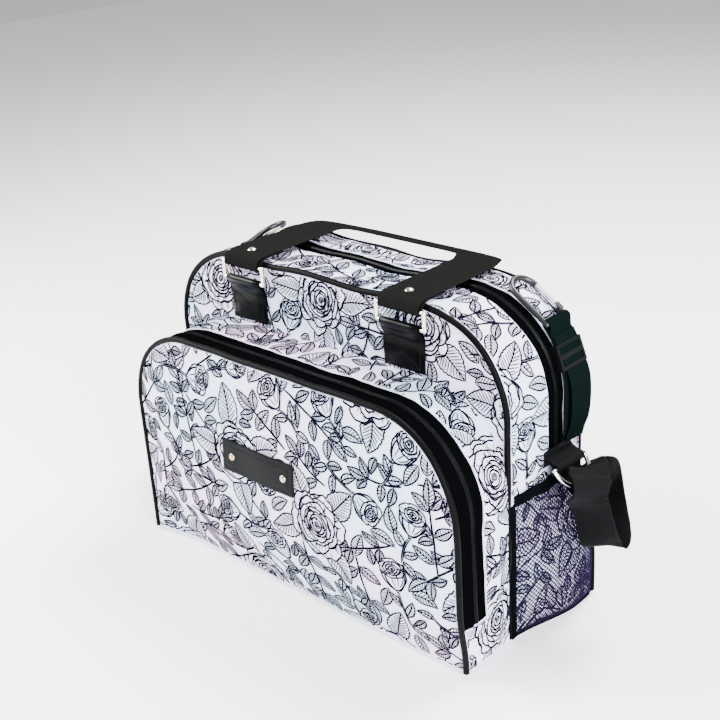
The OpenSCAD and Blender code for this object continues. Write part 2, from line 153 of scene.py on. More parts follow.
DULL = {"specular_ior_level": 0.0}
CLOTH = material(
    "cloth", (0.79, 0.80, 0.90), 0.44, sheen_weight=0.12, sheen_roughness=0.4, specular_ior_level=0.5
)
grained(CLOTH, 420, 0.12, 0.0003, False)
INK = material("ink", (0.003, 0.0032, 0.008), 0.55, **DULL)
LINING = material("lining_cloth", (0.33, 0.34, 0.38), 0.8)
PIPING = material("piping_cord", (0.0008, 0.0009, 0.0011), 0.5, specular_ior_level=0.04)
TAPE = material("zip_tape", (0.0009, 0.0010, 0.0012), 0.6, specular_ior_level=0.0)
ribbed(TAPE, 1400, 1700, 0.3, 0.0002)
COIL = material("zip_coil", (0.0012, 0.0014, 0.0016), 0.36, specular_ior_level=0.08)
ZIPMETAL = material("zip_metal", (0.03, 0.03, 0.032), 0.3, 0.85)
PULLER = material("puller_cord", (0.0015, 0.0015, 0.0018), 0.5, specular_ior_level=0.2)
WEB = material("handle_webbing", (0.0062, 0.0061, 0.0058), 0.72, **DULL)
ribbed(WEB, 620, 520, 0.6, 0.0005)
STRAP = material("strap_webbing", (0.0030, 0.0031, 0.0034), 0.6, specular_ior_level=0.03)
ribbed(STRAP, 900, 700, 0.5, 0.0003)
GREEN = material("stroller_webbing", (0.0018, 0.0040, 0.0038), 0.55, **DULL)
ribbed(GREEN, 900, 800, 0.5, 0.0003)
PATENT = material(
    "tab_leather", (0.0007, 0.0009, 0.0010), 0.28, specular_ior_level=0.06, coat_weight=0.02, coat_roughness=0.14
)
grained(PATENT, 900, 0.12, 0.0002)
LABEL = material("label_leather", (0.0040, 0.0046, 0.0048), 0.5, specular_ior_level=0.04)
grained(LABEL, 1100, 0.5, 0.0004)
GOLD = material("pale_gold", (0.83, 0.75, 0.62), 0.16, 1.0)
BRASS = material("label_brass", (0.55, 0.42, 0.28), 0.3, 1.0)
SILVER = material("silver", (0.85, 0.85, 0.86), 0.16, 1.0)
NET = material("net", (0.010, 0.007, 0.020), 0.6, **DULL)
ELASTIC = material("elastic", (0.0014, 0.0021, 0.0024), 0.6, **DULL)
ribbed(ELASTIC, 500, 1500, 0.6, 0.0003)
PLASTIC = material("black_plastic", (0.0014, 0.0014, 0.0017), 0.38, specular_ior_level=0.12)
CLIP = material("clip_metal", (0.03, 0.03, 0.032), 0.32, 0.7)
STEEL = material("gate_metal", (0.5, 0.5, 0.5), 0.28, 1.0)
THREAD = material("thread", (0.008, 0.009, 0.010), 0.6, **DULL)
BOARD = material("board", (0.1, 0.1, 0.105), 0.7)


def painted_sheen_tint(m, cool, warm, scale):
    """Painted sheen and shade: the cloth's base colour drifts slowly and at random between two colours over the
    panels, standing in for the satin's colour shifts under light.
    """
    t = node(m, "ShaderNodeTexNoise")
    t.inputs["Scale"].default_value = scale
    t.inputs["Detail"].default_value = 1
    link(m, uv_scaled(m, 1, 1), t.inputs["Vector"])
    r = node(m, "ShaderNodeValToRGB")
    r.color_ramp.elements[0].position, r.color_ramp.elements[1].position = 0.38, 0.62
    r.color_ramp.elements[0].color, r.color_ramp.elements[1].color = (*cool, 1), (*warm, 1)
    link(m, t.outputs["Fac"], r.inputs["Fac"])
    link(m, r.outputs["Color"], m.node_tree.nodes["Principled BSDF"].inputs["Base Color"])


# painted sheen and shade: a slow bluish-to-lavender drift in the cloth's base colour
painted_sheen_tint(CLOTH, (0.60, 0.71, 0.88), (0.80, 0.66, 0.88), 9)


# ------------------------------------------------------------------ mesh building
def unit(v):
    return v / (np.linalg.norm(v, axis=-1, keepdims=True) + 1e-12)


def run_length(path):
    """Distance along a path at each of its points."""
    return np.r_[0, np.cumsum(np.linalg.norm(np.diff(path, axis=0), axis=1))]


def joined(name, parts, mats, sharp=40):
    """One piece from (verts, faces, uv, slot) parts."""
    verts, faces, uvs, slots, n = [], [], [], [], 0
    for v, f, uv, slot in parts:
        verts.append(np.asarray(v, float))
        faces += [tuple(int(i) + n for i in q) for q in f]
        uvs.append(np.asarray(uv, float))
        slots += [slot] * len(f)
        n += len(v)
    me = bpy.data.meshes.new(name)
    me.from_pydata([tuple(map(float, v)) for v in np.concatenate(verts)], [], faces)
    for m in mats:
        me.materials.append(m)
    layer = me.uv_layers.new(name="cloth")
    idx = np.zeros(len(me.loops), np.int32)
    me.loops.foreach_get("vertex_index", idx)
    layer.data.foreach_set("uv", np.concatenate(uvs).astype(np.float32)[idx].ravel())
    me.polygons.foreach_set("material_index", np.asarray(slots, np.int32))
    me.polygons.foreach_set("use_smooth", [True] * len(me.polygons))
    me.set_sharp_from_angle(angle=math.radians(sharp))
    me.update()
    o = bpy.data.objects.new(name, me)
    bpy.context.scene.collection.objects.link(o)
    return o


def frames(path):
    """Tangents and normals carried along a path without twist."""
    t = unit(np.gradient(path, axis=0))
    n = np.zeros_like(path)
    a = np.cross(t[0], (0, 0, 1.0))
    n[0] = unit(a if np.linalg.norm(a) > 0.1 else np.cross(t[0], (1.0, 0, 0)))
    for i in range(1, len(path)):
        n[i] = unit(n[i - 1] - t[i] * np.dot(n[i - 1], t[i]))
    return t, n


def ladder(rows, m):
    """Quads between successive closed rows of m points."""
    return [
        (i * m + j, i * m + (j + 1) % m, (i + 1) * m + (j + 1) % m, (i + 1) * m + j)
        for i in range(rows - 1)
        for j in range(m)
    ]


def caps(rows, m):
    """The two end faces of such rows."""
    return [tuple(range(m))[::-1], tuple((rows - 1) * m + j for j in range(m))]


def tube(path, r, sides):
    """Round tube along a path; its two caps are the last faces."""
    t, n = frames(path)
    b = np.cross(t, n)
    ang = np.arange(sides) * 2 * np.pi / sides
    ring = np.cos(ang)[None, :, None] * n[:, None] + np.sin(ang)[None, :, None] * b[:, None]
    v = (path[:, None] + ring * r).reshape(-1, 3)
    uv = np.c_[np.repeat(run_length(path), sides), np.tile(ang * r, len(path))]
    return v, ladder(len(path), sides) + caps(len(path), sides), uv


EDGE = 0.18
HALF_BAND = [(-1, -EDGE), (-0.97, -1), (-0.5, -1), (0, -1), (0.5, -1), (0.97, -1), (1, -EDGE)]
BAND = np.array(HALF_BAND + [(-a, -b) for a, b in HALF_BAND], float)  # a band's section, edges eased


def ribbon_data(path, across, width, thick):
    """Closed band: path, direction across it, width and thickness (one for all, or one a point)."""
    path, across = np.asarray(path, float), unit(np.asarray(across, float))
    k, m = len(path), len(BAND)
    width, thick = np.broadcast_to(width, k), np.broadcast_to(thick, k)
    t = unit(np.gradient(path, axis=0))
    across = unit(across - t * (across * t).sum(1, keepdims=True))
    up = np.cross(t, across)
    v = (
        path[:, None]
        + across[:, None] * (BAND[None, :, :1] * width[:, None, None] / 2)
        + up[:, None] * (BAND[None, :, 1:] * thick[:, None, None] / 2)
    ).reshape(-1, 3)
    uv = np.c_[np.repeat(run_length(path), m), (BAND[None, :, 0] * width[:, None] / 2).ravel()]
    return v, ladder(k, m) + caps(k, m), uv


def spline(points, step=0.003):
    """Smooth curve through points (Catmull-Rom), evenly spaced."""
    p = np.asarray(points, float)
    p = np.concatenate([[2 * p[0] - p[1]], p, [2 * p[-1] - p[-2]]])
    t = np.linspace(0, 1, 12, endpoint=False)[:, None]
    out = []
    for a, b, c, d in zip(p, p[1:], p[2:], p[3:]):
        square, cube = 2 * a - 5 * b + 4 * c - d, 3 * b - a - 3 * c + d
        out.append(0.5 * (2 * b + (c - a) * t + square * t**2 + cube * t**3))
    out = np.concatenate([*out, p[-2:-1]])
    d = run_length(out)
    s = np.linspace(0, d[-1], max(3, int(d[-1] / step) + 1))
    return np.stack([np.interp(s, d, out[:, i]) for i in range(out.shape[1])], 1)


def prisms(a, b, n, r, tip=0.0, sides=6):
    """Bars from a to b, pointed by tip at both ends; n holds a unit vector across each bar."""
    t = unit(b - a)
    m = np.cross(t, n)
    ang = np.arange(sides) * 2 * np.pi / sides
    ring = n[:, None] * np.cos(ang)[None, :, None] + m[:, None] * np.sin(ang)[None, :, None]
    v = [(a - t * tip)[:, None], a[:, None] + ring * r, b[:, None] + ring * r, (b + t * tip)[:, None]]
    v = np.concatenate(v, 1)
    k = v.shape[1]
    one = []
    for j in range(1, sides + 1):
        q = j % sides + 1
        one += [(0, q, j), (j, q, sides + q, sides + j), (sides + j, sides + q, k - 1)]
    faces = [tuple(i * k + x for x in f) for i in range(len(v)) for f in one]
    return v.reshape(-1, 3), faces, np.zeros((len(v) * k, 2))


def threads(segments):
    """Stitches: (a, b) pairs as thin bars with pointed ends."""
    a, b = np.asarray(segments, float).transpose(1, 0, 2)
    return prisms(a, b, unit(np.cross(unit(b - a), (0.31, 0.62, 0.72))), THREAD_R, THREAD_R)


def stitch_line(a, b, length=0.0025):
    """Equal stitches from a to b, with a gap between them."""
    a, b = np.asarray(a, float), np.asarray(b, float)
    n = max(1, int(np.linalg.norm(b - a) / STITCH))
    t = (b - a) / n
    h = length / STITCH
    return [(a + t * (i + (1 - h) / 2), a + t * (i + (1 + h) / 2)) for i in range(n)]


def dome(c, n, r, h, sides=24, rings=5):
    """Round rivet head of radius r and height h, standing on a surface at c with normal n."""
    a = unit(np.cross(n, (0.3, 0.5, 0.81)))
    b = np.cross(n, a)
    v, uv = [], []
    levels = [(1.0, -0.0012)]
    for q in np.linspace(0, math.pi / 2 * 0.93, rings):
        levels.append((math.cos(q), h * math.sin(q) ** 0.8 if q > 0 else 0))
    for f, z in levels:
        for q in np.arange(sides) * 2 * np.pi / sides:
            v.append(c + (a * math.cos(q) + b * math.sin(q)) * r * f + n * z)
            uv.append((r * f * math.cos(q), r * f * math.sin(q)))
    v.append(c + n * h)
    uv.append((0, 0))
    k = (len(levels) - 1) * sides
    faces = ladder(len(levels), sides)
    faces += [(k + j, k + (j + 1) % sides, len(v) - 1) for j in range(sides)]
    faces.append(tuple(range(sides))[::-1])
    return np.array(v), faces, np.array(uv)


# ------------------------------------------------------------------ the bag's soft shape
def smooth(t):
    t = np.clip(t, 0, 1)
    return t * t * (3 - 2 * t)


def waves(p, seed, size, n=9, spread=0.5):
    """Smooth random field from -1 to 1 or so, with features of about that size."""
    g = np.random.default_rng(seed)
    total = 0
    for _ in range(n):
        k = unit(g.normal(size=3)) * 2 * np.pi / (size * g.uniform(1 - spread, 1 + spread))
        total = total + np.cos(p @ k + g.uniform(0, 6.28))
    return total / math.sqrt(n)


def sagged(y, z):
    """How far the side's foot is pushed out by what lies at the bottom, most at the back."""
    return 0.0145 * smooth((y + 0.012) / 0.075) * (1 - smooth((z - 0.040) / 0.085))


def soft(p):
    """How the filled bag leaves its pattern: a deeper belly, a drawn-in foot and a slack top."""
    p = np.array(p, float)
    x, y, z = p[:, 0].copy(), p[:, 1].copy(), p[:, 2].copy()
    f = np.clip((Y_MAIN - 0.004 - y) / (Y_MAIN - Y_POCKET), 0, 1.2)
    free = smooth((x + 0.196) / 0.05)
    foot = 1 - smooth(z / 0.075)
    belly = np.sin(np.pi * np.clip(z / 0.215, 0, 1))
    p[:, 1] += f * free * (0.009 * foot - 0.004 * belly)
    p[:, 0] += np.where(x > 0, smooth(x / HALF), 0) * f * 0.005 * np.sin(np.pi * np.clip(z / 0.19, 0, 1))
    side = smooth((np.abs(x) - 0.12) / 0.08)
    p[:, 0] += np.sign(x) * sagged(y, z) * side
    p[:, 1] += 0.0035 * smooth((y - 0.055) / 0.03) * (1 - smooth((z - 0.040) / 0.085)) * side
    up = smooth((z - 0.235) / 0.05)
    back = smooth((y - 0.005) / 0.07)
    p[:, 2] -= up * back * 0.006 * np.exp(-(((x - 0.005) / 0.085) ** 2))
    p[:, 2] += up * 0.0012 * np.cos(x * 62 + 1.0) * smooth((0.17 - np.abs(x)) / 0.05)
    return p


def arch(s, w, h, r):
    """Point and outward normal at arc length s from the left foot over the top, in XZ."""
    s = np.asarray(s, float)
    l1, l2, l3 = h - r, math.pi / 2 * r, w - 2 * r
    e = np.cumsum([l1, l2, l3, l2])
    x, z, nx, nz = (np.zeros_like(s) for _ in range(4))
    a = s < e[0]
    x[a], z[a], nx[a] = -w / 2, s[a], -1
    a = (s >= e[0]) & (s < e[1])
    q = (s[a] - e[0]) / r
    x[a], z[a] = -w / 2 + r - r * np.cos(q), h - r + r * np.sin(q)
    nx[a], nz[a] = -np.cos(q), np.sin(q)
    a = (s >= e[1]) & (s < e[2])
    x[a], z[a], nz[a] = -w / 2 + r + s[a] - e[1], h, 1
    a = (s >= e[2]) & (s < e[3])
    q = (s[a] - e[2]) / r
    x[a], z[a] = w / 2 - r + r * np.sin(q), h - r + r * np.cos(q)
    nx[a], nz[a] = np.sin(q), np.cos(q)
    a = s >= e[3]
    x[a], z[a], nx[a] = w / 2, h - r - (s[a] - e[3]), 1
    return np.c_[x, z], np.c_[nx, nz], e[3] + l1


def arch_len(w, h, r):
    return 2 * (h - r) + math.pi * r + w - 2 * r


def inside_arch(p, w, h, r):
    """Distance from the arch's outline, positive inside."""
    x, z = np.abs(p[:, 0]), p[:, 1]
    cx, cz = w / 2 - r, h - r
    d = np.minimum(w / 2 - x, h - z)
    corner = (x > cx) & (z > cz)
    d[corner] = r - np.hypot(x[corner] - cx, z[corner] - cz)
    return d


def panel_shape(y, sign, w, h, r, fill, belly, seed):
    """Front or back panel as a function of (u, v); sign is -1 facing -Y and 1 facing +Y."""

    def place(q):
        u, v = q[:, 0], q[:, 1]
        d = np.maximum(inside_arch(q, w, h, r), 0)
        side = np.maximum(np.minimum(d, v), 0)
        crown = np.clip(1 - (u / (w / 2)) ** 2, 0, 1) * np.sin(np.pi * np.clip(v / h, 0, 1)) ** 0.8
        puff = fill * (1 - np.exp(-side / 0.016)) + belly * crown
        p = np.c_[-sign * u, np.zeros(len(u)), v]
        p3 = np.c_[u, v, 0 * u]
        ripple = 0.0010 * waves(p3, seed, 0.075) * smooth(side / 0.03)
        pucker = 0.0007 * waves(p3, seed + 1, 0.022, 7) * np.exp(-side / 0.020) * smooth(side / 0.004)
        p[:, 1] = y + sign * (puff + ripple + pucker - 0.0008)
        return soft(p)

    return place


def gusset_shape(w, h, r, inset, y0, y1, sag, seed, zip_y=None):
    """Gusset as a function of (s, y): s runs from the left foot over the top to the right foot."""
    total = arch_len(w, h, r)

    def place(q):
        s, y = q[:, 0], q[:, 1]
        xz, n, _ = arch(s, w, h, r)
        t = np.clip((y - y0) / (y1 - y0), 0, 1)
        mid = np.sin(np.pi * t)
        top = smooth((n[:, 1] - 0.3) / 0.6)
        p3 = np.c_[s, y, 0 * s]
        off = -inset + mid * (0.0022 * (1 - top) - sag * top)
        calm = 1 if zip_y is None else 1 - 0.85 * np.exp(-(((y - zip_y) / 0.017) ** 4))
        slack = 0.0011 * waves(p3, seed, 0.06) + 0.0007 * waves(p3 * (1, 0.35, 1), seed + 1, 0.026, 7)
        off = off + calm * mid**0.7 * slack
        near = smooth(np.minimum(s, total - s) / 0.02)
        off = off * near - inset * (1 - near)
        p = np.c_[xz[:, 0] + n[:, 0] * off, y, xz[:, 1] + n[:, 1] * off]
        return soft(p)

    return place


def surface(place, q, lift=0.0):
    """Points and outward normals of a (u, v) shape."""
    q = np.asarray(q, float)
    e = 0.0004
    p = place(q)
    du = place(q + (e, 0)) - place(q - (e, 0))
    dv = place(q + (0, e)) - place(q - (0, e))
    n = unit(np.cross(du, dv))
    return p + n * lift, n


def fill_outline(loop, step):
    """Triangles over a closed (u, v) outline, with points about a step apart."""
    loop = np.asarray(loop, float)
    n = len(loop)
    lo, hi = loop.min(0), loop.max(0)
    nu, nv = (max(1, int(round(k / step))) for k in hi - lo)
    g = np.meshgrid(np.linspace(lo[0], hi[0], nu + 1), np.linspace(lo[1], hi[1], nv + 1))
    g = np.stack(g, -1).reshape(-1, 2)
    g = g[in_loop(g, loop)]
    near = np.full(len(g), 9.0)
    for a, b in zip(loop, np.roll(loop, -1, axis=0)):
        ab = b - a
        t = np.clip(((g - a) @ ab) / (ab @ ab + 1e-12), 0, 1)
        near = np.minimum(near, np.linalg.norm(g - a - t[:, None] * ab, axis=1))
    g = g[near > step * 0.45]
    pts = np.concatenate([loop, g])
    out = delaunay_2d_cdt([Vector(p) for p in pts], [(i, (i + 1) % n) for i in range(n)], [], 1, 1e-7)
    v = np.array([tuple(p) for p in out[0]])
    f = np.array([t for t in out[2] if len(t) == 3])
    a, b, c = (v[f[:, i]] for i in range(3))
    area = (b - a)[:, 0] * (c - a)[:, 1] - (b - a)[:, 1] * (c - a)[:, 0]
    f = np.where((area < 0)[:, None], f[:, ::-1], f)[np.abs(area) > 1e-12]
    return v, f


def in_loop(p, loop):
    """Which points lie inside a closed outline."""
    inside = np.zeros(len(p), bool)
    for a, b in zip(loop, np.roll(loop, -1, axis=0)):
        hit = (a[1] <= p[:, 1]) != (b[1] <= p[:, 1])
        if hit.any():
            x = a[0] + (p[:, 1] - a[1]) * (b[0] - a[0]) / (b[1] - a[1] + 1e-15)
            inside ^= hit & (p[:, 0] < x)
    return inside


def dense(loop, step):
    """A closed outline with points about a step apart."""
    loop = np.asarray(loop, float)
    out = []
    for a, b in zip(loop, np.roll(loop, -1, axis=0)):
        k = max(1, int(round(np.linalg.norm(b - a) / step)))
        out += [a + (b - a) * i / k for i in range(k)]
    return np.array(out)


def arch_loop(w, h, r, z0, step=0.004):
    """Outline of an arch panel, counter-clockwise from its right foot."""
    a = np.linspace(0, np.pi / 2, 24)
    right = [(w / 2 - r + r * math.cos(q), h - r + r * math.sin(q)) for q in a]
    left = [(-w / 2 + r + r * math.cos(q), h - r + r * math.sin(q)) for q in a + np.pi / 2]
    return dense([(w / 2, z0), *right, *left, (-w / 2, z0)], step)


def rounded(x0, x1, y0, y1, r, n):
    """Rectangle with rounded corners of n steps each, counter-clockwise from its right side."""
    corners = (x1 - r, y1 - r, 0), (x0 + r, y1 - r, 90), (x0 + r, y0 + r, 180), (x1 - r, y0 + r, 270)
    out = []
    for cx, cy, start in corners:
        for a in np.radians([start + 90 * k / n for k in range(n + 1)]):
            out.append((cx + r * math.cos(a), cy + r * math.sin(a)))
    return out


def closed_faces(f, k):
    """Faces of a surface, of its copy k points on, and of the walls between the two rims."""
    edges = {(int(t[i]), int(t[(i + 1) % 3])): True for t in f for i in range(3)}
    faces = [tuple(t) for t in f] + [tuple(i + k for i in t[::-1]) for t in f]
    return faces + [(b, a, a + k, b + k) for a, b in edges if (b, a) not in edges]


def skin(place, loop, thick, step):
    """Closed skin of a shape over an outline."""
    v, f = fill_outline(loop, step)
    p, n = surface(place, v)
    return np.concatenate([p, p - n * thick]), closed_faces(f, len(v)), np.concatenate([v, v]), 0


def thin_out(p, w, tol=0.00008, longest=0.005):
    """Fewer points where a line is nearly straight."""
    keep, i = [0], 0
    n = len(p)
    while i < n - 1:
        j = i + 1
        while j + 1 < n:
            k = j + 1
            d = p[k] - p[i]
            size = math.hypot(d[0], d[1])
            if size > longest or size < 1e-9:
                break
            m = p[i + 1 : k] - p[i]
            if np.abs(m[:, 0] * d[1] - m[:, 1] * d[0]).max() / size > tol:
                break
            j = k
        keep.append(j)
        i = j
    return p[keep], w[keep]


def true_runs(ok):
    """Start and end of each stretch of three or more that hold."""
    ends = np.flatnonzero(np.diff(np.r_[0, ok.astype(int), 0])).reshape(-1, 2)
    return [(a, b) for a, b in ends if b - a >= 3]


def ink(place, window, inside):
    """Print lines inside a window of the cloth, as flat bands lying on a shape."""
    left, right, faces, n = [], [], [], 0
    for p, w in RUNS:
        q = p - window
        for start, end in true_runs(inside(q)):
            a, half = thin_out(q[start:end], w[start:end])
            t = unit(np.gradient(a, axis=0))
            m = np.c_[-t[:, 1], t[:, 0]] * half[:, None]
            left.append(a + m)
            right.append(a - m)
            faces.append(n + np.arange(len(a)))
            n += len(a)
    q = np.concatenate([*left, *right])
    quads = [(i + n, j + n, j, i) for g in faces for i, j in zip(g[:-1], g[1:])]
    return surface(place, q, INK_LIFT)[0], quads, q, 1


# ------------------------------------------------------------------ print: line drawing
INK_STEP = 0.0011
RES = 0.0005  # size of a cell of the sheet's record of what is taken
FINE, BOLD = 0.00042, 0.00046  # half widths of a line
TURN = 6.283


def resample(p):
    p = np.asarray(p, float)
    d = np.r_[0, np.cumsum(np.hypot(*np.diff(p, axis=0).T))]
    n = max(2, int(math.ceil(d[-1] / INK_STEP)) + 1)
    t = np.linspace(0, d[-1], n)
    return np.c_[np.interp(t, d, p[:, 0]), np.interp(t, d, p[:, 1])]


def bezier(a, b, c, n=14):
    t = np.linspace(0, 1, n)[:, None]
    a, b, c = (np.asarray(q, float) for q in (a, b, c))
    return (1 - t) ** 2 * a + 2 * t * (1 - t) * b + t * t * c


def polar(r, a):
    return np.c_[r * np.cos(a), r * np.sin(a)]


def turned(p, angle, at=(0, 0)):
    c, s = math.cos(angle), math.sin(angle)
    p = np.asarray(p, float)
    return p @ np.array([[c, s], [-s, c]]) + np.asarray(at, float)


class Sheet:
    """Front-to-back line drawing: what is drawn first hides what comes later."""

    def __init__(self, lx, ly):
        self.nx, self.ny = int(lx / RES), int(ly / RES)
        self.taken = np.zeros((self.ny, self.nx), bool)
        self.runs = []

    def cell(self, p):
        i = np.clip((p[:, 0] / RES).astype(int), 0, self.nx - 1)
        j = np.clip((p[:, 1] / RES).astype(int), 0, self.ny - 1)
        return j, i

    def line(self, p, half, taper=0.5):
        p = resample(p)
        inside = (p > 0).all(1) & (p < (self.nx * RES, self.ny * RES)).all(1)
        s = np.linspace(0, 1, len(p))
        w = half * (1 - taper * (2 * s - 1) ** 4)
        for a, b in true_runs(~self.taken[self.cell(p)] & inside):
            self.runs.append((p[a:b], w[a:b]))

    def fill(self, poly):
        """Mark a shape as taken."""
        poly = np.asarray(poly, float)
        x0, y0 = np.maximum((poly.min(0) / RES).astype(int), 0)
        x1 = min(int(poly[:, 0].max() / RES) + 2, self.nx)
        y1 = min(int(poly[:, 1].max() / RES) + 2, self.ny)
        if x1 <= x0 or y1 <= y0:
            return
        a, b = poly, np.roll(poly, -1, axis=0)
        xs = (np.arange(x0, x1) + 0.5) * RES
        for j in range(y0, y1):
            y = (j + 0.5) * RES
            hit = (a[:, 1] <= y) != (b[:, 1] <= y)
            if not hit.any():
                continue
            p, q = a[hit], b[hit]
            cross = np.sort(p[:, 0] + (y - p[:, 1]) * (q[:, 0] - p[:, 0]) / (q[:, 1] - p[:, 1]))
            for c0, c1 in zip(cross[::2], cross[1::2]):
                i0, i1 = np.searchsorted(xs, (c0, c1))
                self.taken[j, x0 + i0 : x0 + i1] = True

    def share(self, poly):
        """How much of a shape is taken; all of it when it leaves the sheet."""
        poly = np.asarray(poly, float)
        c = poly.mean(0)
        q = np.concatenate([c + (poly - c) * f for f in (0.25, 0.6, 1.0)])
        if (q.min(0) < -0.02).any() or (q.max(0) > (self.nx * RES + 0.02, self.ny * RES + 0.02)).any():
            return 1.0
        return float(self.taken[self.cell(q)].mean())


def ripple_line(rng, n, waves, size):
    t = np.linspace(0, 1, n)
    return sum(size / (k + 1) * np.sin(2 * np.pi * (w * t + rng.random())) for k, w in enumerate(waves))


def leaf_shape(length, width, bend, serrate, n):
    """A leaf's midrib and two edges, with serrate teeth along each."""
    t = np.linspace(0, 1, n)
    mid = np.c_[t * length, bend * length * np.sin(np.pi * t * 0.9)]
    w = width / 2 * np.sin(np.pi * t**0.82) ** 0.85 * (1 - 0.12 * t)
    w[-1] = w[0] = 0
    tooth = (t * serrate) % 1.0
    tan = np.gradient(mid, axis=0)
    tan /= np.linalg.norm(tan, axis=1)[:, None]
    nor = np.c_[-tan[:, 1], tan[:, 0]]
    return mid, [mid + nor * (s * w * (1 + 0.13 * tooth))[:, None] for s in (1, -1)]


def draw_leaf(sh, at, angle, length, width, rng, serrate, veins, half=FINE):
    n = 64 if serrate else 26
    mid, edge = leaf_shape(length, width, rng.uniform(-0.12, 0.12), serrate, n)

    def place(p):
        return turned(p, angle, at)

    sh.line(place(edge[0]), half)
    sh.line(place(edge[1]), half)
    sh.line(place(mid[: int(n * 0.93)]), half * 0.95, 0.6)
    for k in range(veins):
        f = 0.1 + 0.72 * k / (veins - 1)
        i = int(f * (n - 1))
        j = min(int((f + 0.17) * (n - 1)), n - 2)
        for e in edge:
            tip = mid[j] + (e[j] - mid[j]) * rng.uniform(0.74, 0.94)
            bow = mid[int((i + j) / 2)] + (e[j] - mid[j]) * 0.36
            sh.line(place(bezier(mid[i], bow, tip, 6)), half * 0.62, 0.55)
    sh.fill(place(np.concatenate([edge[0], edge[1][::-1]])))


def petal(a, rad, half, inner, rng, ripple, n=34):
    """A petal's outline about the rose's heart, and the radii and angles of its rim."""
    t = np.linspace(-1, 1, n)
    rim = rad * (1 - 0.20 * np.abs(t) ** 3.2 + ripple_line(rng, n, (1.3, 2.6, 4.1), ripple))
    ang = a + half * t * (1 + 0.04 * np.sin(3 * t))
    down = np.linspace(0, 1, 9)[1:]
    up = down[:-1]
    rr = np.concatenate([rim, rim[-1] + (inner - rim[-1]) * down, inner + (rim[0] - inner) * up])
    aa = np.concatenate([ang, ang[-1] - 0.32 * half * down**1.4, ang[0] + 0.32 * half * (1 - up) ** 1.4])
    return polar(rr, aa), rim, ang


# rings of petals: radius as a share of the flower's, number, overlap
ROSE = [(0.19, 3, 1.5), (0.28, 3, 1.45), (0.385, 4, 1.35), (0.50, 4, 1.35), (0.63, 5, 1.3), (0.79, 5, 1.28)]
ROSE += [(0.97, 6, 1.2)]
ROSEBUD = [(0.26, 3, 1.45), (0.46, 4, 1.35), (0.70, 5, 1.3), (0.96, 5, 1.25)]


def draw_rose(sh, at, R, rng, squash, tilt, half=BOLD, small=False):
    """Open rose from the front: petals from the heart outwards."""

    def place(p):
        return turned(p * (1, squash), tilt, at)

    heart = np.linspace(0, 1, 60)
    a0 = rng.uniform(0, 6.28)
    sh.line(place(polar(R * (0.015 + 0.10 * heart), a0 + heart * 13) * (1, 0.9)), half * 0.8)
    sh.fill(place(polar(1, heart * TURN) * R * 0.112))
    for k, (f, n, over) in enumerate(ROSEBUD if small else ROSE):
        a0 += rng.uniform(0.5, 1.1)
        for j in rng.permutation(n):
            a = a0 + 2 * np.pi * j / n + rng.normal(0, 0.09)
            rad = f * R * (1 + rng.normal(0, 0.045))
            out, rim, ang = petal(a, rad, np.pi / n * over, rad * 0.35, rng, 0.02 + 0.022 * k / 6)
            sh.line(place(out), half, 0.15)
            if k > 1:
                lo, hi = sorted(rng.uniform(0.02, 0.98, 2))
                if hi - lo > 0.3:  # rolled lip
                    i0, i1 = int(lo * len(ang)), int(hi * len(ang))
                    u = np.linspace(0, 1, i1 - i0)
                    lip = rim[i0:i1] - R * rng.uniform(0.035, 0.075) * np.sin(np.pi * u) ** 0.7
                    sh.line(place(polar(lip, ang[i0:i1])), half * 0.72)
                for _ in range(3 if small else 3 + k):  # shading strokes
                    b = a + np.pi / n * over * rng.uniform(-0.75, 0.75)
                    r0, r1 = rad * rng.uniform(0.66, 0.8), rad * rng.uniform(0.84, 0.94)
                    ends = polar(np.array([r0, r1]), np.array([b, b + rng.normal(0, 0.05)]))
                    sh.line(place(ends), half * 0.55, 0.7)
            sh.fill(place(out))


